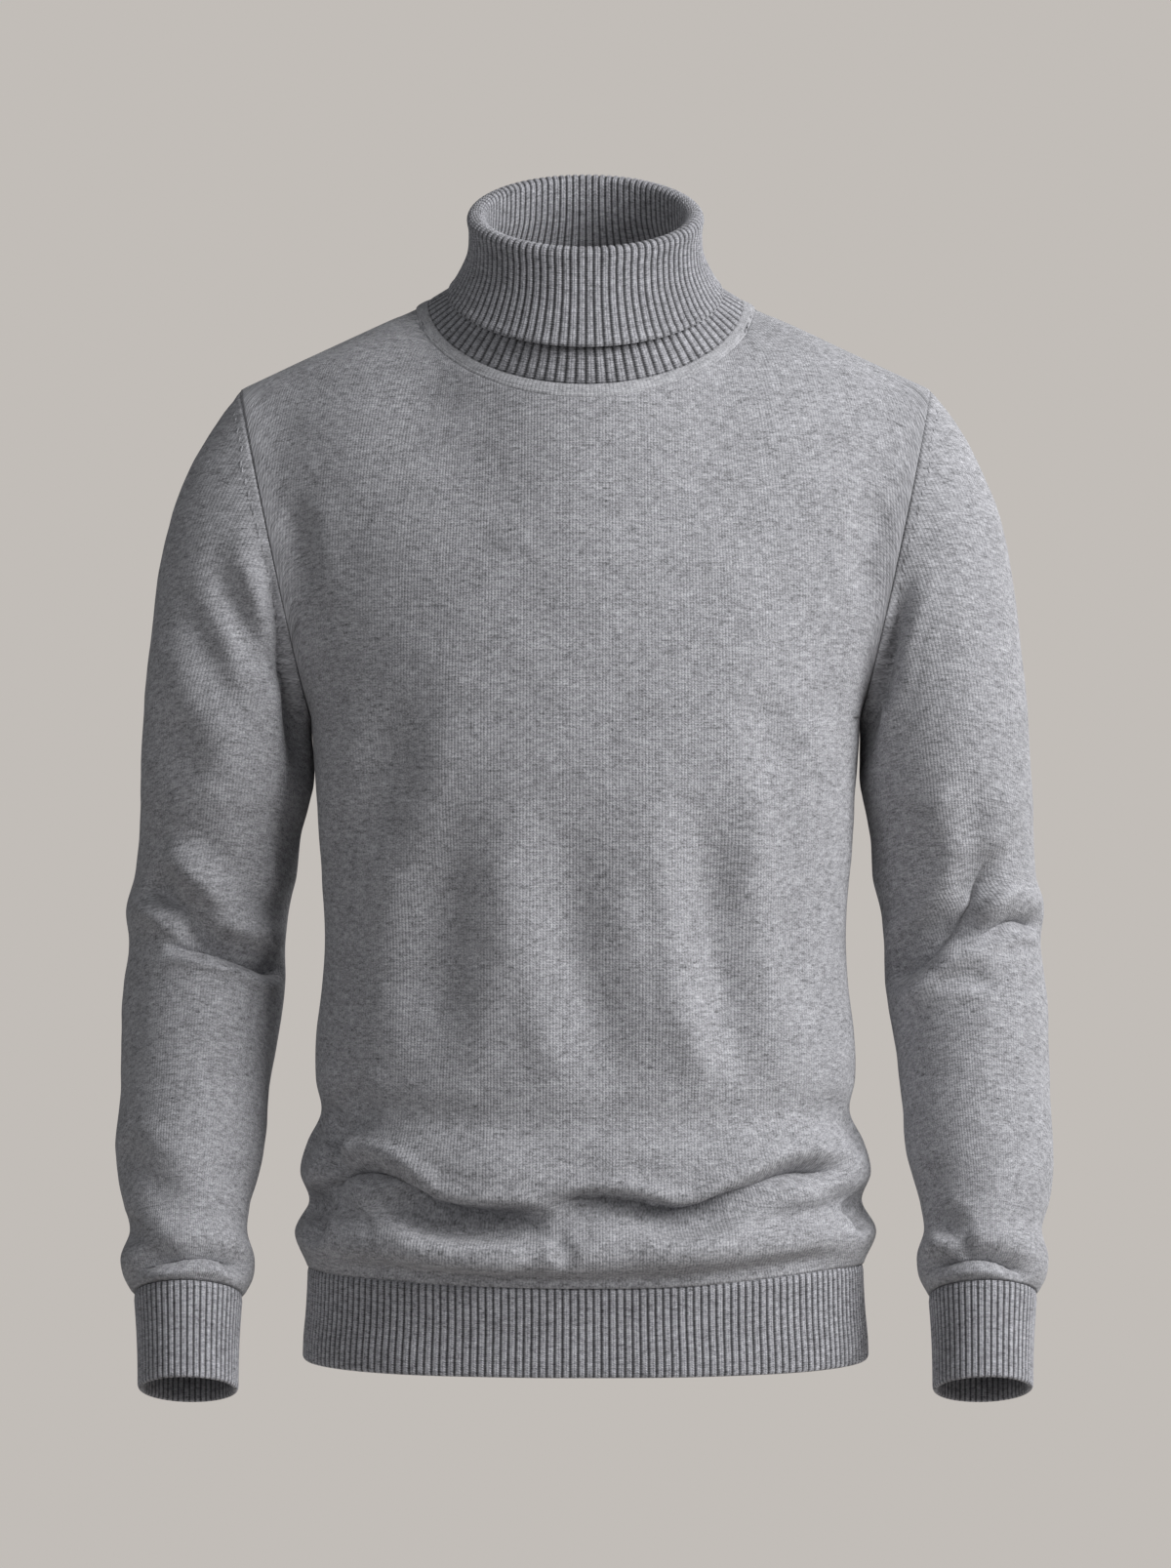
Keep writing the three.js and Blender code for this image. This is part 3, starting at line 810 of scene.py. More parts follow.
FRONT_CREASES = (
    Crease(((-163, -568), (-159, -550), (-151, -539), (-134, -536), (-120, -539), (-106, -548), (-95, -557),
            (-76, -562), (-58, -563), (-39, -564), (-25, -570), (-12, -578)),
           10, -17, 0.3, -0.35, (0.12, 0.25), 1.4, hang=5.5),
    Crease(((-24, -564), (-12, -557), (2, -553), (18, -553), (35, -556), (53, -561), (67, -560), (85, -552),
            (104, -543), (118, -537), (136, -534.5), (150, -538), (164, -545)),
           8, -15, 0.3, -0.35, (0.2, 0.12), 1.4, hang=5.5),
    Crease(((-162, -498), (-157, -514), (-159, -530), (-168, -543)), 5.5, -10, 0.2, 0.0, (0.3, 0.3)),
    Crease(((-174, -558), (-165, -574), (-173, -588)), 5, -8, 0.2, 0.0, (0.3, 0.3)),
    Crease(((163, -506), (170, -522), (172, -536)), 4.5, -6, 0.2, 0.0, (0.3, 0.3)),
    Crease(((167, -560), (170, -571), (175, -584)), 4.5, -8, 0.2, 0.0, (0.3, 0.3)),
    Crease(((60, -540), (90, -528), (122, -518), (158, -524)), 12, 3.5, 0.2, 0.0, (0.35, 0.15)),
    Crease(((82, -549), (104, -540), (122, -534), (140, -535), (156, -543)),
           5, -5, 0.0, -0.3, (0.3, 0.3), 1.4, hang=2),
    Crease(((-20, -572), (-14, -581), (-6, -592)), 5, -3.5, 0.2, 0.0, (0.3, 0.4)),
    Crease(((-165, -581), (-90, -585), (0, -588), (90, -584), (165, -580)), 9, 4, 0.0, 0.0, (0.12, 0.12)),
    Crease(((-165, -597), (-90, -599), (0, -602), (90, -599), (165, -595)), 6.5, -4, 0.0, 0.0, (0.12, 0.12)),
    Crease(((-108, -240), (-118, -282), (-128, -322), (-138, -368)), 17, -5.5, 0.35, 0.0, (0.4, 0.4)),
    Crease(((-76, -290), (-82, -336), (-88, -400), (-94, -500)), 18, -6.5, 0.35, 0.0, (0.5, 0.35)),
    Crease(((-14, -290), (-11, -345), (-4, -415), (8, -456), (26, -520)), 18, -6, 0.35, 0.0, (0.5, 0.35)),
    Crease(((64, -270), (70, -325), (78, -385), (88, -445), (106, -515)), 15, -7.5, 0.35, 0.0, (0.45, 0.35)),
    Crease(((104, -240), (113, -268), (120, -310)), 13, -4, 0.3, 0.0, (0.4, 0.4)),
    Crease(((102, -276), (106, -330), (110, -382)), 11, 2.5, 0.2, 0.0, (0.45, 0.45)),
    Crease(((46, -380), (58, -440), (90, -508)), 13, 2.5, 0.2, 0.0, (0.45, 0.45)),
    Crease(((-150, -488), (-138, -502), (-128, -512)), 9, -3.5, 0.3),
    Crease(((-184, -120), (-179, -160), (-173, -198)), 11, -4, 0.3),
    Crease(((184, -118), (178, -160), (172, -202)), 11, -4, 0.3),
    Crease(((-150, -512), (-128, -522), (-95, -532), (-50, -537), (0, -538)), 14, 3, 0.25, 0.0, (0.3, 0.4)),
    Crease(((-86, -506), (-50, -516), (-6, -524)),
           13, -5.5, 0.0, 0.0, (0.35, 0.1), 2.0, Seen.SIDE, Side.RIGHT),
    Crease(((-84, -560), (-46, -565), (-4, -569)), 9, -5, 0.0, 0.2, (0.35, 0.1), 2.0, Seen.SIDE, Side.RIGHT),
    Crease(((-80, -504), (-46, -512), (-4, -520)),
           13, -3.5, 0.0, 0.0, (0.35, 0.1), 2.0, Seen.SIDE, Side.LEFT),
    Crease(((-80, -562), (-40, -567), (-4, -571)), 9, -5, 0.0, 0.2, (0.35, 0.1), 2.0, Seen.SIDE, Side.LEFT),
)
BACK_CREASES = (
    Crease(((-164, -556), (-142, -546), (-112, -550), (-84, -562), (-50, -570), (-24, -579)),
           10, -13, 0.3, -0.35, (0.12, 0.3), 1.4, hang=4.5),
    Crease(((-40, -566), (-8, -558), (30, -560), (62, -566), (92, -556), (120, -545), (145, -543), (164, -550)),
           9, -12, 0.3, -0.35, (0.25, 0.12), 1.4, hang=4.5),
    Crease(((-160, -596), (-80, -599), (0, -600), (80, -599), (160, -596)), 6.5, -4, 0.0, 0.0, (0.12, 0.12)),
    Crease(((-62, -330), (-70, -390), (-84, -480)), 18, -5, 0.4),
    Crease(((66, -320), (72, -400), (84, -486)), 18, -5, 0.4),
    Crease(((-4, -225), (4, -320), (2, -430)), 20, -5, 0.4),
    Crease(((-120, -270), (-132, -330), (-138, -380)), 14, -4, 0.4),
    Crease(((122, -262), (132, -320), (136, -360)), 14, -4, 0.4),
)


@dataclass
class Body:
    """The front and back panels, from the hem seam to the shoulders."""

    neck_columns: int = 42
    side_columns: int = 42
    row_step: float = 1.85
    armhole_depth: dict[Facing, float] = field(default_factory=lambda: {Facing.FRONT: 0.56, Facing.BACK: 0.6})
    shoulder_roundness: float = 2.3
    neck_roundness: float = 1.6
    edge_tuck: float = 0.32
    neckline_reach: float = 11.0
    corner_columns: float = 17.0
    corner_rounds: int = 140
    corner_growth: float = 0.09
    tuck_reach: float = 2.2
    band: BandRun = field(default_factory=BandRun)

    def column_shares(self) -> Grid:
        """Half-width shares of one half's columns at the underarm, evenly spaced along the cloth.

        Returns:
            Shares from 0 to 1.
        """
        turn = np.linspace(0.0, math.pi / 2, 4001)
        across = np.sin(turn) ** (2 / SECTION_POWER)
        deep = np.cos(turn) ** (2 / SECTION_POWER)
        run = lengths_along(np.stack([172 * across, 112 * deep], axis=-1), 0)
        at_neck = np.interp(NECK_POINT_SHARE, across, run)
        places = np.concatenate([
            np.linspace(0.0, at_neck, self.neck_columns + 1),
            np.linspace(at_neck, run[-1], self.side_columns + 1)[1:],
        ])
        shares = np.interp(places, run, across)
        shares[self.neck_columns] = NECK_POINT_SHARE
        return shares

    def top_line(self, shares: Grid, facing: Facing) -> Grid:
        """The panel's top edge for each column: the neckline, then the shoulder seam.

        Args:
            shares: each column's half-width share.
            facing: front or back.

        Returns:
            Points by 3.
        """
        turn = (math.pi / 2) * np.minimum(1.0, shares / NECK_POINT_SHARE)
        angles = turn if facing is Facing.FRONT else math.pi - turn
        top = self.band.points(angles, 1 + SEAM_GAP / 8)
        neck_point = top[self.neck_columns].copy()
        past = np.clip((shares - NECK_POINT_SHARE) / (1 - NECK_POINT_SHARE), 0.0, 1.0)
        along = np.arcsin(past) * 2 / math.pi
        beyond = shares >= NECK_POINT_SHARE
        top[beyond, 0] = mix(neck_point[0], SHOULDER_POINT[0], along[beyond])
        top[beyond, 1] = 0.0
        top[beyond, 2] = mix(neck_point[2], SHOULDER_POINT[1], along[beyond])
        return top

    def half(self, facing: Facing) -> Grid:
        """One half of a panel before its folds, rows from the hem seam up and columns from the centre out.

        Args:
            facing: front or back.

        Returns:
            Rows by columns by 3.
        """
        shares = self.column_shares()
        top = self.top_line(shares, facing)
        table = np.array([(v.half_width, v.front, v.back) for v in BODY_LEVELS])
        heights = np.array([v.z for v in BODY_LEVELS])
        count = round((UNDERARM[1] - BODY_BOTTOM_Z) / self.row_step)
        z = np.linspace(BODY_BOTTOM_Z, UNDERARM[1], count + 1)
        sizes = smooth_track(heights, table, z)
        deep = sizes[:, 1 if facing is Facing.FRONT else 2]
        lower = np.stack([
            sizes[:, :1] * shares,
            facing.value * deep[:, None] * round_section(shares, SECTION_POWER),
            np.repeat(z[:, None], len(shares), axis=1),
        ], axis=-1)
        climb = (1 - np.cos(math.pi * np.arange(1, ARMHOLE_ROWS + 1) / ARMHOLE_ROWS))[:, None] / 2
        edge = self.armhole_depth[facing] * np.sqrt(1 - (1 - climb) ** 3)
        wide = deep[-1] * round_section(shares * round_section(edge, SECTION_POWER), SECTION_POWER)
        fall = mix(
            1 - climb ** self.neck_roundness,
            round_section(climb, self.shoulder_roundness),
            smoothstep(shares, 0.1, 0.9),
        )
        upper = np.stack([
            mix(UNDERARM[0] * shares, top[:, 0], climb),
            mix(top[:, 1], facing.value * wide, fall),
            mix(UNDERARM[1], top[:, 2], climb),
        ], axis=-1)
        return np.concatenate([lower, self.laid(upper, facing)])

    def laid(self, upper: Grid, facing: Facing) -> Grid:
        """The upper rows lowered round the neckline, so that they leave the band's edge without a step.

        Args:
            upper: the rows above the underarm.
            facing: front or back.

        Returns:
            The moved rows.
        """
        angles = np.linspace(0.0, math.pi / 2, 240)
        angles = angles if facing is Facing.FRONT else math.pi - angles
        edge = self.band.points(angles, 1 + SEAM_GAP / 8)
        across = unit(edge - self.band.points(angles, 0.0))
        over = unit(np.cross(np.gradient(edge, axis=0), across))
        over *= np.sign(over[:, 2:3])
        flat = upper.reshape(-1, 3)
        nearest = np.linalg.norm(flat[:, None] - edge[None], axis=-1).argmin(axis=1)
        off = flat - edge[nearest]
        height = np.maximum(0.0, (off * over[nearest]).sum(axis=-1))
        height *= np.exp(-(np.linalg.norm(off, axis=-1) / self.neckline_reach) ** 2)
        return (flat - over[nearest] * height[:, None]).reshape(upper.shape)

    def eased(self, grid: Grid) -> Grid:
        """The panel with the corner of its neckline softened, more with distance from its top edge.

        Args:
            grid: the whole panel.

        Returns:
            The softened panel.
        """
        middle = self.neck_columns + self.side_columns
        column = np.abs(np.arange(grid.shape[1]) - middle)
        spread = np.exp(-((column - self.neck_columns) / self.corner_columns) ** 2)[None, :, None]
        up = lengths_along(grid, 0)
        from_top = (up[-1:] - up)[:, [middle + self.neck_columns]]
        rounds = np.minimum(self.corner_rounds, self.corner_growth * from_top ** 2)[..., None]
        for k in range(self.corner_rounds):
            even = grid.copy()
            even[:, 1:-1] = 0.25 * (grid[:, :-2] + grid[:, 2:]) + 0.5 * grid[:, 1:-1]
            grid = grid + (even - grid) * spread * np.clip(rounds - k, 0.0, 1.0)
        return grid

    def grids(self, facing: Facing, creases: tuple[Crease, ...], seed: int) -> tuple[Grid, Grid, Grid]:
        """The whole panel with its folds.

        Args:
            facing: front or back.
            creases: its folds.
            seed: picks its slow waves.

        Returns:
            Outer grid, inner grid and knit map.
        """
        half = self.half(facing)
        mirrored = half[:, :0:-1] * np.array([-1.0, 1.0, 1.0])
        outer = self.eased(np.concatenate([mirrored, half], axis=1))
        columns = outer.shape[1]
        centres = np.stack([
            np.zeros(len(outer)), np.full(len(outer), 20.0 * facing.value), outer[:, 0, 2],
        ], axis=-1)
        smooth = grid_normals(outer, False, centres)
        across = lengths_along(outer, 1)
        up = lengths_along(outer, 0)
        from_side = np.minimum(across, across[:, -1:] - across)
        from_top = up[-1:] - up
        hold = smoothstep(from_side, 0.0, 22.0) * smoothstep(from_top, 0.0, 30.0) * smoothstep(up, 0.0, 6.0)
        waves = Unevenness(seed, 0.8, (60.0, 170.0)).height_at(outer)
        waves += Unevenness(seed + 1, 0.22, (18.0, 42.0)).height_at(outer)
        folds = crease_relief(outer, smooth, creases, facing.value)
        tuck = np.exp(-(from_side / self.tuck_reach) ** 2) + np.exp(-(from_top / self.tuck_reach) ** 2)
        lift = hold * waves - self.edge_tuck * np.minimum(tuck, 1.0)
        outer = outer + folds * hold[..., None] + smooth * lift[..., None]
        outer[..., 1] += facing.value * SEAM_GAP / 2
        outer = seam_sag(outer, 60.0, 1.0)
        normals = grid_normals(outer, False, centres)
        below = outer[:, 0, 2] <= UNDERARM[1] + 0.01
        for column in (0, -1):
            normals[below, column, 1] = 0.0
        normals[0, :, 2] = 0.0
        shares = self.column_shares()
        turn = (math.pi / 2) * np.minimum(1.0, shares / NECK_POINT_SHARE)
        turn = np.concatenate([-turn[:0:-1], turn])
        at_neck = np.abs(np.arange(columns) - columns // 2) <= self.neck_columns
        angles = turn if facing is Facing.FRONT else math.pi - turn
        normals[-1, at_neck] = neck_away(angles)[at_neck]
        normals = unit(normals)
        inner = outer - JERSEY_WALL * normals
        edges = np.zeros(outer.shape[:2], dtype=bool)
        edges[-1, :] = True
        edges[:, [0, -1]] = True
        limit = np.minimum if facing is Facing.FRONT else np.maximum
        inner[..., 1] = np.where(edges, limit(inner[..., 1], outer[..., 1]), inner[..., 1])
        knit = np.stack([across - across[:, columns // 2][:, None], up], axis=-1)
        return outer, inner, knit

    def armhole(self, panels: dict[Facing, Grid]) -> Grid:
        """The armhole on the +x side: up the front edge from the underarm, then down the back edge."""
        front, back = (panels[f][-(ARMHOLE_ROWS + 1):, -1] for f in (Facing.FRONT, Facing.BACK))
        return np.concatenate([front, back[1:-1][::-1]])

    def build(self, finish: bpy.types.Material) -> dict[Facing, Grid]:
        """Builds both panels.

        Args:
            finish: the jersey.

        Returns:
            Each panel's outer grid.
        """
        panels = {}
        for facing, creases, name, seed in (
            (Facing.FRONT, FRONT_CREASES, "front", 11), (Facing.BACK, BACK_CREASES, "back", 23),
        ):
            outer, inner, knit = self.grids(facing, creases, seed)
            piece = Shell.panel(outer, inner, knit).object(f"{name}_body", finish)
            place(piece, f"{name}_panel")
            panels[facing] = outer
        return panels


# Sleeves


@dataclass(frozen=True)
class SleeveSection:
    """A tilted elliptical section of a sleeve or cuff, on the wearer's left."""

    x: float
    y: float
    z: float
    half_width: float
    half_depth: float
    tilt: float

    def row(self) -> tuple[float, ...]:
        """The sizes as a row of numbers."""
        return (self.x, self.y, self.z, self.half_width, self.half_depth, self.tilt)


SLEEVE_SECTIONS = (
    SleeveSection(226.3, 8, -307, 53.8, 61, -6),
    SleeveSection(230.5, 15, -335, 51.6, 60, -7),
    SleeveSection(234, 20, -363, 51.8, 60, -4),
    SleeveSection(239, 22, -383, 51.8, 60, 1),
    SleeveSection(239, 22, -403, 49.8, 57, 7),
    SleeveSection(240.5, 17, -430, 50.6, 56, 13),
    SleeveSection(243, 6, -466, 48.6, 53, 18),
    SleeveSection(245, -5, -500, 46.5, 50, 19),
    SleeveSection(247.3, -20, -538, 44.8, 47, 20),
    SleeveSection(248, -32, -564, 40, 44, 20),
    SleeveSection(246.5, -39, -581, 37, 42, 20),
    SleeveSection(245.8, -46, -598, 41, 45, 20),
    SleeveSection(245.4, -50.5, -608.5, 39.2, 43.2, 20),
    SleeveSection(245.1, -53, -615, 35.6, 40.4, 20),
    SleeveSection(245, -54.5, -619, 33.2, 38.6, 20),
)
CUFF_TOP = SleeveSection(245, -54.53, -619.08, 32.6, 38.0, 20)
CUFF_BOTTOM = SleeveSection(243.4, -75, -674.6, 29.9, 35.5, 20)

SLEEVE_CREASES = {
    Side.LEFT: (
        Crease(((188, -430), (216, -407), (238, -385), (248, -364), (256, -336)),
               10, -14, 0.3, 0.2, (0.08, 0.35), 1.4, hang=-4.0),
        Crease(((224, -412), (240, -403), (257, -394), (273, -390), (290, -395)),
               7, -9, 0.35, 0.3, (0.4, 0.1), 1.4, hang=3.5),
        Crease(((196, -446), (222, -428), (246, -416)), 10, 3, 0.2, 0.0, (0.3, 0.4)),
        Crease(((214, -433), (226, -427), (240, -426), (262, -430)), 6, -4, 0.3, 0.2, (0.3, 0.4)),
        Crease(((173, -300), (172, -270), (177, -242), (187, -214), (196, -188), (204, -164)),
               8.5, -13, 0.2, 0.2, (0.3, 0.45), 1.5),
        Crease(((183, -256), (190, -238), (196, -220)), 6, -4, 0.3, 0.2, (0.1, 0.5)),
        Crease(((212, -574), (223, -578), (238, -584)), 7, -5, 0.3, 0.3),
        Crease(((206, -604), (220, -596), (236, -592), (248, -593), (260, -598), (274, -607)),
               5.5, -8, 0.4, 0.2, (0.2, 0.2), 1.4, hang=4.0),
        Crease(((246, -352), (258, -330), (262, -300)), 10, 3, 0.3),
        Crease(((250, -520), (262, -500), (270, -470)), 12, -2, 0.3),
        Crease(((215, -300), (222, -330), (236, -356)), 11, 2.5, 0.3),
    ),
    Side.RIGHT: (
        Crease(((-192, -150), (-185, -180), (-178, -212), (-173, -245), (-172, -278), (-175, -318)),
               11, -18, 0.1, 0.0, (0.4, 0.4), 1.8),
        Crease(((-234, -150), (-226, -172), (-214, -197), (-199, -224), (-182, -252)),
               10, -6.5, 0.2, 0.0, (0.45, 0.3)),
        Crease(((-256, -166), (-248, -190), (-238, -214), (-226, -240), (-210, -272)),
               12, -5, 0.2, 0.0, (0.45, 0.45)),
        Crease(((-262, -250), (-252, -280), (-238, -312)), 14, -4, 0.3, 0.0, (0.4, 0.4)),
        Crease(((-218, -138), (-211, -168), (-201, -198), (-188, -232)), 8, 3.5, 0.1, 0.0, (0.45, 0.4)),
        Crease(((-276, -366), (-262, -374), (-248, -384), (-228, -398)),
               10, -11, 0.3, 0.3, (0.15, 0.35), 1.5, hang=2.0),
        Crease(((-262, -334), (-241, -362), (-220, -386), (-190, -410)), 10, 6, 0.25),
        Crease(((-264, -403), (-246, -404), (-229, -407), (-213, -412), (-200, -418), (-187, -425)),
               7, -11, 0.35, 0.3, (0.25, 0.1), 1.4, hang=5.0),
        Crease(((-292, -528), (-276, -540), (-258, -552), (-236, -562)), 11, -4, 0.3, 0.0, (0.1, 0.5)),
        Crease(((-292, -578), (-276, -583), (-258, -587), (-238, -588)), 8, -5, 0.3, 0.0, (0.1, 0.5)),
        Crease(((-282, -606), (-270, -599), (-254, -594), (-238, -591), (-226, -592), (-214, -598),
                (-204, -607)),
               5.5, -7.5, 0.4, 0.2, (0.2, 0.2), 1.4, hang=4.0),
    ),
}
ELBOW_CREASES = (
    Crease(((205, -376), (240, -374), (276, -388)), 8, -5, 0.35, 0.2),
    Crease(((208, -414), (244, -410), (280, -426)), 8, -5, 0.35, 0.2),
    Crease(((212, -578), (244, -570), (274, -580)), 7, -3.5, 0.3),
)


def section_points(rows: Grid, angles: Grid) -> Grid:
    """Points of tilted elliptical sections.

    Args:
        rows: one row of SleeveSection numbers for each section.
        angles: turn of each point from the underarm side.

    Returns:
        Sections by points by 3.
    """
    x, y, z, half_width, half_depth, tilt = (np.atleast_2d(rows)[:, k][:, None] for k in range(6))
    across = -np.cos(angles) * half_width
    deep = -np.sin(angles) * half_depth
    tilt = np.radians(tilt)
    return np.stack([x + across, y + deep * np.cos(tilt), z - deep * np.sin(tilt)], axis=-1)


@dataclass
class Sleeve:
    """A set-in sleeve, lofted from the armhole to the wrist."""

    side: Side
    cap_rings: int = 58
    ring_step: float = 1.9
    wales_round: int = 170
    wale: float = 2.0
    armhole_tuck: float = 0.32
    armhole_tuck_reach: float = 2.2
    wrist_tuck: float = 0.9
    wrist_tuck_reach: float = 2.4
    mark_pitch: float = 7.2
    mark_length: float = 5.2
    mark_radius: float = 0.75
    mark_from_seam: float = 7.5

    def rings(self, armhole: Grid) -> Grid:
        """The smooth sleeve before its folds, from the armhole down.

        Args:
            armhole: the armhole's loop on the +x side.

        Returns:
            Rings by points by 3.
        """
        rise, run = SHOULDER_POINT[1] - UNDERARM[1], SHOULDER_POINT[0] - UNDERARM[0]
        seam_out = unit(np.array([rise, 0.0, -run]))
        count = len(armhole)
        angles = 2 * math.pi * np.arange(count) / count
        table = np.array([s.row() for s in SLEEVE_SECTIONS])
        runs = np.concatenate([[0.0], np.cumsum(np.linalg.norm(np.diff(table[:, :3], axis=0), axis=1))])
        steps = round(runs[-1] / self.ring_step)
        sections = section_points(smooth_track(runs, table, np.linspace(0, runs[-1], steps + 1)), angles)
        start = armhole + SEAM_GAP * seam_out
        end = sections[0]
        reach = np.linalg.norm(end - start, axis=-1, keepdims=True)
        underarm = ((1 + np.cos(angles)) / 2)[:, None]
        leave = np.concatenate([
            mix(0.68, 0.02, underarm), 0.12 * -np.sin(angles)[:, None], mix(-0.74, -1.0, underarm),
        ], axis=1) * reach
        arrive = mix(np.array([0.06, 0.12, -1.0]), unit(sections[1] - sections[0]), 0.6) * reach
        t = (np.arange(self.cap_rings) / self.cap_rings)[:, None, None]
        t2, t3 = t * t, t * t * t
        cap = (
            (2 * t3 - 3 * t2 + 1) * start + (t3 - 2 * t2 + t) * leave
            + (3 * t2 - 2 * t3) * end + (t3 - t2) * arrive
        )
        return np.concatenate([cap, sections])

    def grids(self, armhole: Grid) -> tuple[Grid, Grid, Grid]:
        """The sleeve with its folds, on its own side.

        Args:
            armhole: the armhole's loop on the +x side.

        Returns:
            Outer rings, inner rings and knit map.
        """
        sign = self.side.value
        outer = self.rings(armhole)
        centres = outer.mean(axis=1)
        smooth = grid_normals(outer, True, centres)
        down = lengths_along(outer, 0)
        world = outer * np.array([sign, 1.0, 1.0])
        turned = smooth * np.array([sign, 1.0, 1.0])
        hold = smoothstep(down, 0.0, 10.0) * smoothstep(down[-1:] - down, 0.0, 5.0)
        folds = crease_relief(world, turned, SLEEVE_CREASES[self.side], -1.0) * np.array([sign, 1.0, 1.0])
        folds += crease_relief(outer, smooth, ELBOW_CREASES, 1.0)
        lift = Unevenness(40 + sign, 0.7, (50.0, 130.0)).height_at(world)
        lift += Unevenness(60 + sign, 0.2, (16.0, 36.0)).height_at(world)
        tuck = self.armhole_tuck * np.exp(-(down / self.armhole_tuck_reach) ** 2)
        tuck += self.wrist_tuck * np.exp(-((down[-1:] - down) / self.wrist_tuck_reach) ** 2)
        outer = outer + folds * hold[..., None] + smooth * (hold * lift - tuck)[..., None]
        normals = grid_normals(outer, True, centres)
        inner = outer - JERSEY_WALL * normals
        around = np.linspace(0.0, self.wales_round * self.wale, outer.shape[1] + 1)
        full = np.concatenate([down, down[:, :1]], axis=1)
        knit = np.stack([np.broadcast_to(around, full.shape), full[-1:] - full], axis=-1)
        return outer * np.array([sign, 1.0, 1.0]), inner * np.array([sign, 1.0, 1.0]), knit

    def build(self, armhole: Grid, finish: bpy.types.Material) -> None:
        """Builds the sleeve and the row of fashioning stitches beside its armhole.

        Args:
            armhole: the armhole's loop on the +x side.
            finish: the jersey.
        """
        name = self.side.name.lower()
        outer, inner, knit = self.grids(armhole)
        rings = np.concatenate([outer, inner[::-1]])
        loop_map = np.concatenate([knit, knit[::-1], knit[:1]])
        piece = Shell.tube(rings, loop_map).object(f"sleeve_cloth_{name}", finish)
        place(piece, f"sleeve_{name}")
        marks = self.marks(outer, finish)

    def marks(self, outer: Grid, finish: bpy.types.Material) -> bpy.types.Object:
        """Small slanted stitches along the armhole, where the knitting was narrowed.

        Args:
            outer: the sleeve's outer rings.
            finish: the jersey.

        Returns:
            One object that holds them all.
        """
        count = outer.shape[1]
        centres = outer.mean(axis=1)
        normals = grid_normals(outer, True, centres)
        spots = []
        for half in (np.arange(20, 64), np.arange(count - 64, count - 20)[::-1]):
            run = lengths_along(outer[3, half], 0)
            for want in np.arange(0.0, run[-1], self.mark_pitch):
                spots.append((int(half[np.searchsorted(run, want)]), half[0] < count // 2))
        points, faces, knit = [], [], []
        long_steps, round_steps = 7, 6
        for column, on_front in spots:
            ring = int(np.searchsorted(lengths_along(outer[:, column], 0), self.mark_from_seam))
            base, normal = outer[ring, column], normals[ring, column]
            down = unit(outer[ring + 2, column] - outer[ring, column])
            back = outer[ring, (column + 1) % count] - outer[ring, column - 1]
            across = unit(back) * (1 if on_front else -1)
            heading = unit(down * 0.75 - across * 0.66)
            aside = np.cross(normal, heading)
            first = len(points)
            for k in range(long_steps):
                share = k / (long_steps - 1)
                swell = math.sin(math.pi * (0.06 + 0.88 * share))
                middle = base + heading * (share - 0.5) * self.mark_length - normal * 0.15
                for turn in 2 * math.pi * np.arange(round_steps) / round_steps:
                    rise = (aside * math.cos(turn) + normal * math.sin(turn)) * self.mark_radius
                    points.append(middle + rise * swell)
                    knit.append((column * 2.0 + math.cos(turn), ring * 2.0 + 4.0 * share))
            cells, _ = quads(long_steps, round_steps, False, True)
            faces.extend((cells + first).tolist())
            faces.append([first + k for k in range(round_steps)][::-1])
            faces.append([first + (long_steps - 1) * round_steps + k for k in range(round_steps)])
        mesh = bpy.data.meshes.new(f"fashioning_{self.side.name.lower()}")
        mesh.from_pydata((np.array(points) * MM).tolist(), [], faces)
        layer = mesh.uv_layers.new(name=KNIT_MAP)
        corners = [v for face in faces for v in face]
        layer.data.foreach_set("uv", (np.array(knit)[corners] * MM).reshape(-1))
        mesh.polygons.foreach_set("use_smooth", np.ones(len(mesh.polygons), dtype=bool))
        mesh.materials.append(finish)
        mesh.validate()
        mesh.update()
        piece = bpy.data.objects.new(mesh.name, mesh)
        bpy.context.scene.collection.objects.link(piece)
        return place(piece, None)


# Ribs


@dataclass(frozen=True)
class RibProfile:
    """One rib's outline: turns from 0 to 1 across it and its height share at each, 0 in the groove."""

    turns: tuple[float, ...] = (0.0, 0.09, 0.18, 0.28, 0.39, 0.5, 0.61, 0.72, 0.82, 0.91)
    heights: tuple[float, ...] = (0.0, 0.2, 0.55, 0.86, 0.98, 1.0, 0.98, 0.86, 0.55, 0.2)

    def places(self, ribs: int) -> tuple[Grid, Grid]:
        """Turns round a whole edge in ribs, and the height share at each."""
        turns = (np.arange(ribs)[:, None] + np.array(self.turns)).reshape(-1)
        return turns, np.tile(np.array(self.heights), ribs)


def even_section(half_width: float, half_depth: float, power: float, shares: Grid) -> Grid:
    """Points at even steps round a rounded section.

    Args:
        half_width: half its x size.
        half_depth: half its y size.
        power: 2 for an ellipse, more for a squarer one.
        shares: places round it from 0 to 1.

    Returns:
        x and y for each place.
    """
    turn = np.linspace(0.0, 2 * math.pi, 2881)
    cos, sin = np.cos(turn), np.sin(turn)
    x = np.sign(cos) * half_width * np.abs(cos) ** (2 / power)
    y = np.sign(sin) * half_depth * np.abs(sin) ** (2 / power)
    run = lengths_along(np.stack([x, y], axis=-1), 0)
    at = shares * run[-1]
    return np.stack([np.interp(at, run, x), np.interp(at, run, y)], axis=-1)


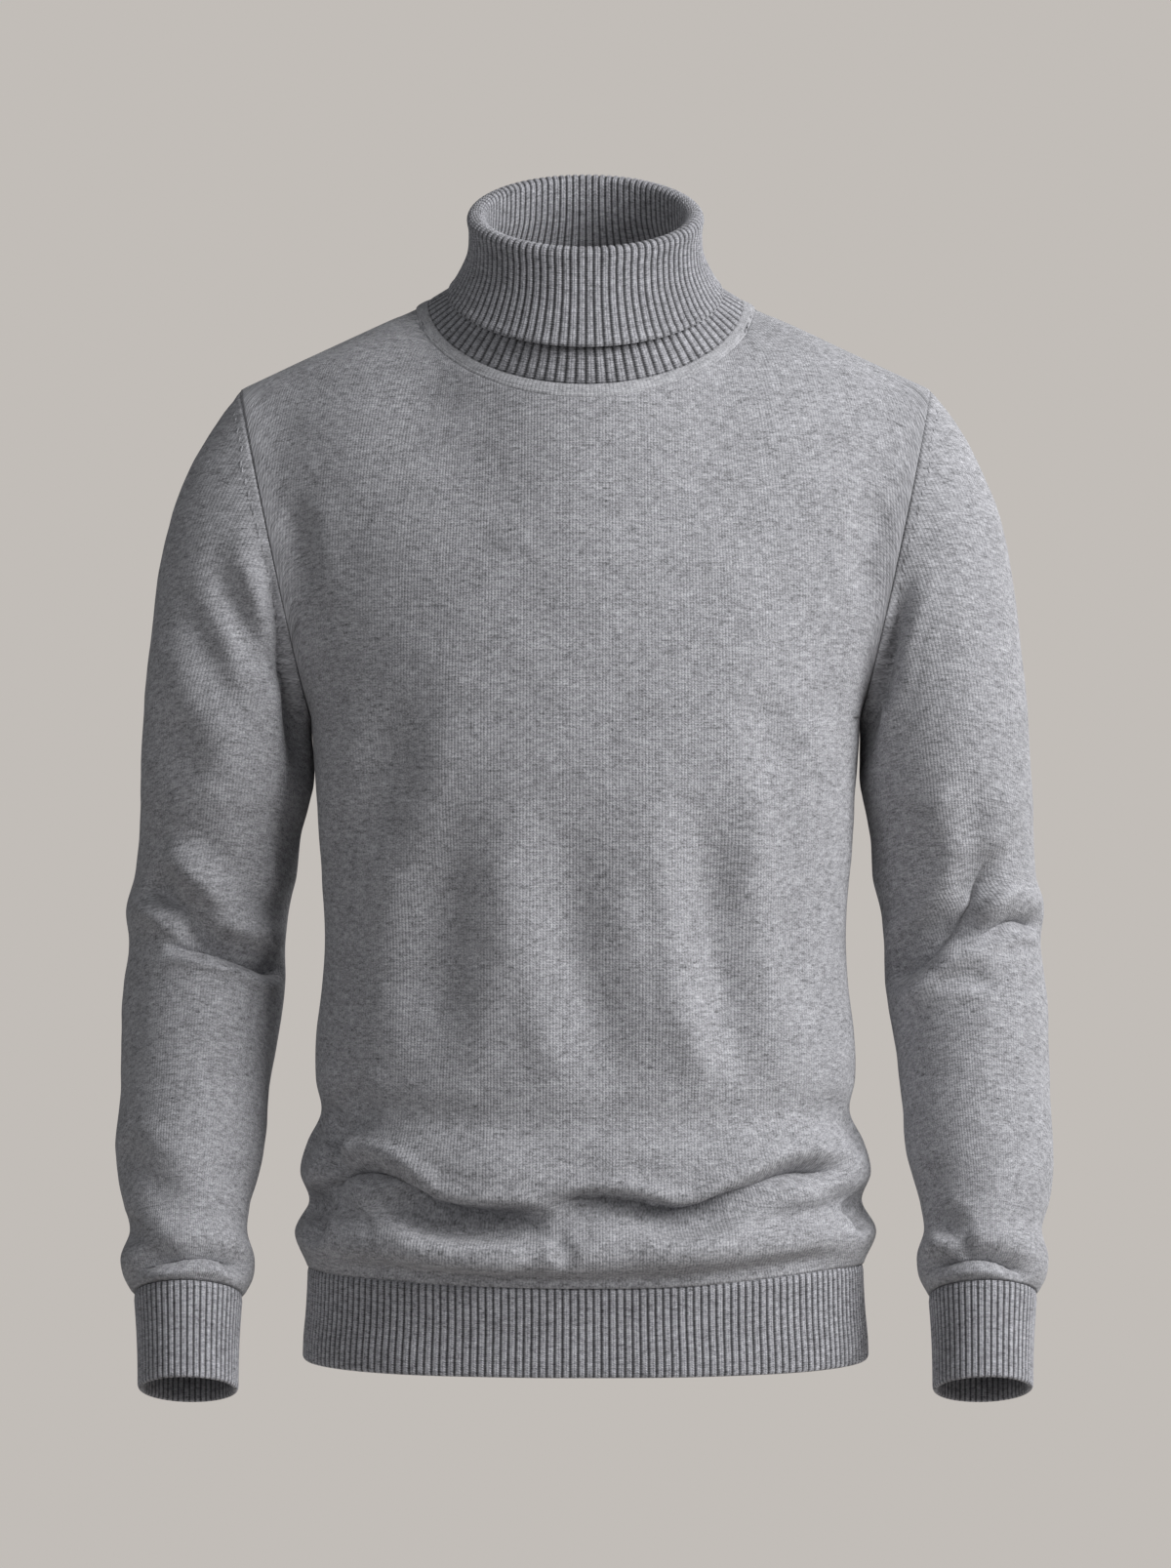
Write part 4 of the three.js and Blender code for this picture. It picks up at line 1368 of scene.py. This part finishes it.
@dataclass
class HemRib:
    """The ribbed band round the bottom of the body."""

    ribs: int = 200
    pitch: float = 4.48
    rise: float = 1.15
    edge_round: float = 2.2
    profile: RibProfile = field(default_factory=RibProfile)
    levels: tuple[BodyLevel, ...] = (
        BodyLevel(-604.28, 172.9, 112.7, 111.7),
        BodyLevel(-619, 173.4, 112.0, 111.0),
        BodyLevel(-634, 174.2, 112.0, 111.0),
        BodyLevel(-650, 175.6, 112.9, 111.7),
        BodyLevel(-663, 176, 113.5, 112),
    )

    def level(self, z: float, inset: float, rise: float) -> Grid:
        """One ring of the band, set in from its outline and raised at the ribs.

        Args:
            z: its height.
            inset: how far it is set in.
            rise: the ribs' height there.

        Returns:
            Points by 3.
        """
        table = np.array([(v.half_width, v.front, v.back) for v in self.levels[::-1]])
        heights = np.array([v.z for v in self.levels[::-1]])
        half_width, front, back = smooth_track(heights, table, np.array([z]))[0]
        depth = (front + back) / 2
        turns, heights_round = self.profile.places(self.ribs)
        flat = even_section(half_width - inset, depth - inset, SECTION_POWER, turns / self.ribs)
        away = unit(np.stack([flat[:, 0] / half_width ** 2, flat[:, 1] / depth ** 2], axis=-1))
        flat = flat + away * (rise * heights_round)[:, None]
        return np.stack([flat[:, 0], flat[:, 1] + (back - front) / 2, np.full(len(flat), z)], axis=-1)

    def build(self, finish: bpy.types.Material) -> None:
        """Builds the band, with a rounded lower edge.

        Args:
            finish: the piece's finish.
        """
        top, bottom = self.levels[0].z, self.levels[-1].z
        rows = []
        outside = np.linspace(top, bottom + self.edge_round, 15)
        for z in outside:
            rows.append((z, 0.0, self.rise * float(smoothstep(top - z, -1.2, 2.4))))
        for turn in np.radians((25.0, 50.0, 75.0)):
            drop = self.edge_round * math.sin(turn)
            inset, rise = 1.3 * (1 - math.cos(turn)), self.rise * (1 - 0.45 * math.sin(turn))
            rows.append((bottom + self.edge_round - drop, inset, rise))
        rows.append((bottom, 1.4, 0.2))
        for z in np.linspace(bottom + 0.6, top, 7):
            rows.append((z, RIB_WALL, 0.0))
        rings = np.stack([self.level(z, inset, rise) for z, inset, rise in rows])
        wave = 0.5 * np.sin(rings[..., 0] / 31.0 + 0.7) + 0.35 * np.sin(rings[..., 0] / 13.0 + rings[..., 1] / 40.0)
        low = smoothstep(top - rings[..., 2], 6.0, 50.0)
        outward = unit(rings * np.array([1.0, 1.0, 0.0]))
        rings = rings + outward * (wave * low)[..., None]
        rings = seam_sag(rings, 1.0, top - bottom)
        turns, _ = self.profile.places(self.ribs)
        around = np.append(turns, self.ribs) * self.pitch
        along = np.array([z if inset < RIB_WALL else 2 * bottom - z for z, inset, _ in rows])
        along = top - along
        along = np.append(along, 2 * (top - bottom))
        knit = np.stack(np.broadcast_arrays(around[None, :], along[:, None]), axis=-1)
        piece = place(Shell.tube(rings, knit).object("hem_ribbing", finish), "hem_rib")


@dataclass
class Cuff:
    """A ribbed cuff below a sleeve."""

    side: Side
    ribs: int = 54
    pitch: float = 3.9
    rise: float = 0.95
    length: float = 59.0
    waist: float = 0.7
    inner_groove: float = 0.55
    profile: RibProfile = field(default_factory=RibProfile)

    def ring(self, share: float, inset: float, rise: float) -> Grid:
        """One ring of the cuff, a share of the way down, set in and raised at the ribs.

        Args:
            share: 0 at the top, 1 at the bottom.
            inset: how far it is set in.
            rise: the ribs' height there.

        Returns:
            Points by 3.
        """
        top, bottom = np.array(CUFF_TOP.row()), np.array(CUFF_BOTTOM.row())
        x, y, z, half_width, half_depth, tilt = mix(top, bottom, share)
        swell = -self.waist * math.sin(math.pi * min(1.0, max(0.0, share)))
        half_width, half_depth = half_width + swell, half_depth + swell
        turns, heights_round = self.profile.places(self.ribs)
        flat = even_section(half_width - inset, half_depth - inset, 2.0, turns / self.ribs)
        away = unit(np.stack([flat[:, 0] / half_width ** 2, flat[:, 1] / half_depth ** 2], axis=-1))
        flat = flat + away * (rise * heights_round)[:, None]
        lean = math.radians(tilt)
        return np.stack([
            self.side.value * (x + flat[:, 0]),
            y + flat[:, 1] * math.cos(lean),
            z - flat[:, 1] * math.sin(lean),
        ], axis=-1)

    def build(self, finish: bpy.types.Material) -> None:
        """Builds the cuff, ribbed inside too, with a plain rounded lower edge.

        Args:
            finish: the piece's finish.
        """
        rows = []
        for share in np.linspace(0.0, 0.955, 15):
            rows.append((share, 0.0, self.rise * float(smoothstep(share * self.length, -1.2, 2.2))))
        rows += [(0.975, 0.0, self.rise * 0.75), (0.99, 0.1, self.rise * 0.5), (1.0, 0.6, self.rise * 0.2)]
        rows += [(1.0, 1.6, 0.0), (0.99, 2.1, -0.15)]
        for share in np.linspace(0.96, 0.0, 12):
            rows.append((share, RIB_WALL, -self.inner_groove * float(smoothstep(share, 0.0, 0.2))))
        rings = np.stack([self.ring(*row) for row in rows])
        turns, _ = self.profile.places(self.ribs)
        around = np.append(turns, self.ribs) * self.pitch
        along = np.array([share if inset < 1.5 else 2 - share for share, inset, _ in rows]) * self.length
        along = np.append(along, 2 * self.length)
        knit = np.stack(np.broadcast_arrays(around[None, :], along[:, None]), axis=-1)
        name = self.side.name.lower()
        piece = place(Shell.tube(rings, knit).object(f"cuff_ribbing_{name}", finish), f"cuff_{name}")


# Collar and neck band


@dataclass
class NeckBand:
    """The plain band linked on over the neckline seam, with a fine groove near its outer edge."""

    points_round: int = 320
    wall: float = 2.4
    proud: float = 0.7
    lap: float = 1.07
    width: float = 8.5
    length_round: float = 540.0
    rows_across: int = 19
    groove: float = 0.25
    groove_place: float = 0.80
    groove_width: float = 0.045
    run: BandRun = field(default_factory=BandRun)

    def build(self, finish: bpy.types.Material) -> None:
        """Builds the band.

        Args:
            finish: the piece's finish.
        """
        angles = 2 * math.pi * np.arange(self.points_round) / self.points_round
        away = neck_away(angles)
        clear = SEAM_GAP / 8
        shares = np.append(self.lap, np.linspace(1.0, clear, self.rows_across))
        rows, widths = [], []
        for share in shares:
            lift = self.proud * math.sin(math.pi * share) ** 0.5 if 0 < share < 1 else 1.0 - share / 0.99
            lift -= self.groove * math.exp(-((share - self.groove_place) / self.groove_width) ** 2)
            rows.append(self.run.points(angles, share) + away * lift)
            widths.append(self.width * share)
        for share in (clear, 0.5, self.lap):
            rows.append(self.run.points(angles, share) - away * self.wall)
            widths.append(self.width * share)
        rings = np.stack(rows)
        around = np.linspace(0.0, self.length_round, self.points_round + 1)
        along = np.append(np.array(widths), widths[0])
        knit = np.stack(np.broadcast_arrays(around[None, :], along[:, None]), axis=-1)
        piece = place(Shell.tube(rings, knit).object("neck_trim", finish), "neck_band")


@dataclass
class RollCollar:
    """The ribbed collar: a stand from the neck base, rolled over at its rim and folded down outside."""

    ribs: int = 96
    pitch: float = 4.5
    rise: float = 1.2
    inner_rise: float = 0.85
    rim_radius: float = 5.0
    edge_bead: float = 0.55
    profile: RibProfile = field(default_factory=RibProfile)
    fold: tuple[NeckRing, ...] = (
        NeckRing(85.5, 81, 78, -12, 4.5, 0.54, 0.28),
        NeckRing(79, 76, 73.5, -12.5, 14, 0.52, 0.35),
        NeckRing(73, 69.5, 68.5, -14, 27, 0.50, 0.42),
        NeckRing(71.8, 66, 65.5, -15, 41, 0.488, 0.488),
        NeckRing(73, 66, 66, -15, 49.4, 0.488, 0.488),
    )
    rim: NeckRing = NeckRing(68, 61, 61, -15, 49.4, 0.488, 0.488)
    stand_root: NeckRing = NeckRing(96.6, 87.6, 61.8, -0.5, -0.8, 0.69, 0.16)
    stand_under_fold: NeckRing = NeckRing(80.2, 77, 71, -9.5, 7.5, 0.57, 0.26)
    stand_middle: NeckRing = NeckRing(67.6, 62.6, 62, -14, 28, 0.50, 0.42)

    def track(self, rings: tuple[NeckRing, ...], count: int) -> Grid:
        """Rows of ring sizes on a smooth run through a few rings."""
        table = np.array([r.row() for r in rings])
        return smooth_track(np.arange(len(rings), dtype=float), table, np.linspace(0, len(rings) - 1, count))

    def rings(self) -> tuple[Grid, Grid]:
        """The collar's closed section round the neck: fold, rim, inside, root, stand and hidden side.

        Returns:
            Rings by points by 3, and the run of cloth at each ring in mm.
        """
        turns, ridge = self.profile.places(self.ribs)
        angles = 2 * math.pi * turns / self.ribs
        away = np.stack([np.sin(angles), -np.cos(angles), np.zeros_like(angles)], axis=-1)
        up = np.array([0.0, 0.0, 1.0])
        rows = []

        def wall(sizes: Grid, inset: float, rises: Grid) -> None:
            """Adds rings set in from their sizes and raised at the ribs.

            Args:
                sizes: the rings' sizes.
                inset: how far they are set in.
                rises: each ring's rib height.
            """
            for ring, rise in zip(neck_rings(sizes, angles), rises):
                rows.append(ring + away * (rise * ridge - inset)[:, None])

        def roll(degrees: Grid, radius: float, rise: Grid) -> None:
            """Adds rings over the rim, from turn 0 outside to 180 inside.

            Args:
                degrees: turn of each ring.
                radius: the roll's radius.
                rise: each ring's rib height.
            """
            base = neck_rings(np.array(self.rim.row()), angles)[0]
            for degree, lift in zip(degrees, rise):
                turn = math.radians(degree)
                reach = (radius + lift * ridge)[:, None]
                rows.append(base + away * reach * math.cos(turn) + up * reach * math.sin(turn))

        fold = self.track(self.fold, 27)
        edge = np.full(27, self.rise)
        edge[:3] = (0.35, 0.7, 1.0)
        wall(fold[:3], -self.edge_bead, edge[:3])
        wall(fold[3:], 0.0, edge[3:])
        degrees = np.linspace(0, 180, 15)[1:]
        roll(degrees, self.rim_radius, np.linspace(self.rise, self.inner_rise, 14))
        inner_rim = NeckRing(65.3, 58.5, 58.5, -15, 42, 0.488, 0.488)
        inside = self.track((inner_rim, self.stand_middle, self.stand_under_fold), 16)
        wall(inside, RIB_WALL, -np.linspace(self.inner_rise, 0.5, 16))
        wall(np.array(NECK_BASE.row()), RIB_WALL, np.zeros(1))
        wall(np.array(NECK_BASE.row()), 0.0, np.zeros(1))
        wall(self.track((self.stand_root, self.stand_under_fold), 10), 0.0, np.full(10, self.rise))
        wall(np.array(self.stand_middle.row()), 0.0, np.full(1, 0.3))
        roll(np.array([180.0, 90.0, 0.0]), self.rim_radius - RIB_WALL, np.zeros(3))
        wall(self.track(self.fold[:3], 4)[::-1], RIB_WALL, np.zeros(4))
        rings = np.stack(rows)
        run = lengths_along(rings[:, :1], 0)[:, 0]
        return rings, run

    def build(self, finish: bpy.types.Material) -> None:
        """Builds the collar.

        Args:
            finish: the piece's finish.
        """
        rings, run = self.rings()
        turns, _ = self.profile.places(self.ribs)
        around = np.append(turns, self.ribs) * self.pitch
        along = np.append(run, run[-1] + 2.0)
        knit = np.stack(np.broadcast_arrays(around[None, :], along[:, None]), axis=-1)
        piece = place(Shell.tube(rings, knit).object("collar_ribbing", finish), "roll_collar")


# Studio


@dataclass(frozen=True)
class Lamp:
    """A soft square light: its power in watts, its size in metres and its place."""

    name: str
    energy: float
    size: float
    where: tuple[float, float, float]

    def light(self) -> None:
        """Puts the light in the scene, aimed at the middle of the object."""
        data = bpy.data.lights.new(self.name, "AREA")
        data.energy, data.size = self.energy, self.size
        lamp = bpy.data.objects.new(self.name, data)
        lamp.location = self.where
        aim = Vector((0.0, 0.0, -0.3)) - Vector(self.where)
        lamp.rotation_euler = aim.to_track_quat("-Z", "Y").to_euler()
        bpy.context.scene.collection.objects.link(lamp)


@dataclass
class Studio:
    """The camera, the plain pale floor and backdrop tone, and soft lights, the main one on the viewer's right."""

    distance: float = 3.0
    eye_height: float = -0.3037
    focal_pixels: float = 4894.0
    picture: tuple[int, int] = (1200, 1607)
    backdrop: tuple[float, float, float] = (0.539, 0.509, 0.479)
    ambient: float = 0.12
    lamps: tuple[Lamp, ...] = (
        Lamp("key", 164.0, 2.0, (2.6, -1.5, 1.3)),
        Lamp("fill", 20.0, 1.6, (-1.4, -2.8, 0.6)),
        Lamp("back", 55.0, 1.4, (1.9, 2.4, 1.0)),
    )
    floor_z: float = -1.45
    floor_radius: float = 3.2

    def camera(self) -> None:
        """Puts the camera level with the middle of the body."""
        data = bpy.data.cameras.new("camera")
        data.sensor_width = 36.0
        data.lens = data.sensor_width * self.focal_pixels / max(self.picture)
        data.clip_start, data.clip_end = 0.1, 50.0
        camera = bpy.data.objects.new("camera", data)
        camera.location = (0.0, -self.distance, self.eye_height)
        camera.rotation_euler = (math.pi / 2, 0.0, 0.0)
        bpy.context.scene.collection.objects.link(camera)
        bpy.context.scene.camera = camera

    def world(self) -> None:
        """A plain backdrop tone, and a weaker even light on the object."""
        world = bpy.data.worlds.new("studio")
        world.use_nodes = True
        nodes, links = world.node_tree.nodes, world.node_tree.links
        nodes.clear()
        seen, even = nodes.new("ShaderNodeBackground"), nodes.new("ShaderNodeBackground")
        seen.inputs["Color"].default_value = (*self.backdrop, 1.0)
        even.inputs["Color"].default_value = (0.95, 0.97, 1.0, 1.0)
        even.inputs["Strength"].default_value = self.ambient
        choose, path = nodes.new("ShaderNodeMixShader"), nodes.new("ShaderNodeLightPath")
        links.new(path.outputs["Is Camera Ray"], choose.inputs[0])
        links.new(even.outputs[0], choose.inputs[1])
        links.new(seen.outputs[0], choose.inputs[2])
        links.new(choose.outputs[0], nodes.new("ShaderNodeOutputWorld").inputs["Surface"])
        bpy.context.scene.world = world

    def floor(self) -> None:
        """A pale floor that fades out at its edge."""
        mesh = bpy.data.meshes.new("floor")
        count = 96
        turns = [2 * math.pi * k / count for k in range(count)]
        rim = [(self.floor_radius * math.cos(t), self.floor_radius * math.sin(t), self.floor_z) for t in turns]
        mesh.from_pydata(rim, [], [list(range(count))])
        bench = NodeBench("floor_paint")
        spot = bench.node("ShaderNodeTexCoord").outputs["Object"]
        length = bench.node("ShaderNodeVectorMath", spot, operation="LENGTH").outputs["Value"]
        fade = bench.step(length, self.floor_radius * 0.35, self.floor_radius * 0.98, 0.0, 1.0)
        paint = bench.node("ShaderNodeBsdfDiffuse")
        paint.inputs["Color"].default_value = (0.62, 0.59, 0.56, 1.0)
        clear = bench.node("ShaderNodeBsdfTransparent")
        blend = bench.node("ShaderNodeMixShader", fade)
        bench.plug(paint.outputs[0], blend.inputs[1])
        bench.plug(clear.outputs[0], blend.inputs[2])
        bench.plug(blend.outputs[0], bench.node("ShaderNodeOutputMaterial").inputs["Surface"])
        mesh.materials.append(bench.material)
        floor = bpy.data.objects.new("floor", mesh)
        bpy.context.scene.collection.objects.link(floor)

    def build(self) -> None:
        """Sets up everything that isn't part of the object."""
        bpy.context.scene.view_settings.view_transform = "Standard"
        self.camera()
        self.world()
        self.floor()
        for lamp in self.lamps:
            lamp.light()


@dataclass
class Sweater:
    """The whole garment."""

    jersey: KnitFinish = KnitFinish("jersey_knit", (0.300, 0.300, 0.318), 2.0, 1.55, False)
    # The collar's rib grey is darker than the hem and cuff ribs of the same knit: partly painted shade, standing in
    # for the shade in the grooves of the collar's front.
    rib: KnitFinish = KnitFinish("collar_rib_knit_painted_shade", (0.268, 0.268, 0.288), 4.5, 1.45, True, stitch_depth=0.55)
    hem_knit: KnitFinish = KnitFinish("hem_knit", (0.305, 0.305, 0.328), 4.48, 1.45, True, stitch_depth=0.55)
    cuff_knit: KnitFinish = KnitFinish("cuff_knit", (0.305, 0.305, 0.328), 3.9, 1.45, True, stitch_depth=0.55)
    band_knit: KnitFinish = KnitFinish("band_knit", (0.330, 0.330, 0.348), 2.0, 1.55, False, contrast=0.7)

    def build(self) -> None:
        """Builds each sub-assembly in order."""
        jersey = self.jersey.material()
        body = Body()
        panels = body.build(jersey)
        armhole = body.armhole(panels)
        cuff_finish = self.cuff_knit.material()
        for side in Side:
            Sleeve(side).build(armhole, jersey)
            Cuff(side).build(cuff_finish)
        HemRib().build(self.hem_knit.material())
        NeckBand().build(self.band_knit.material())
        RollCollar().build(self.rib.material())


def main() -> None:
    """Builds the studio and the sweater."""
    Studio().build()
    Sweater().build()


if __name__ == "__main__":
    main()
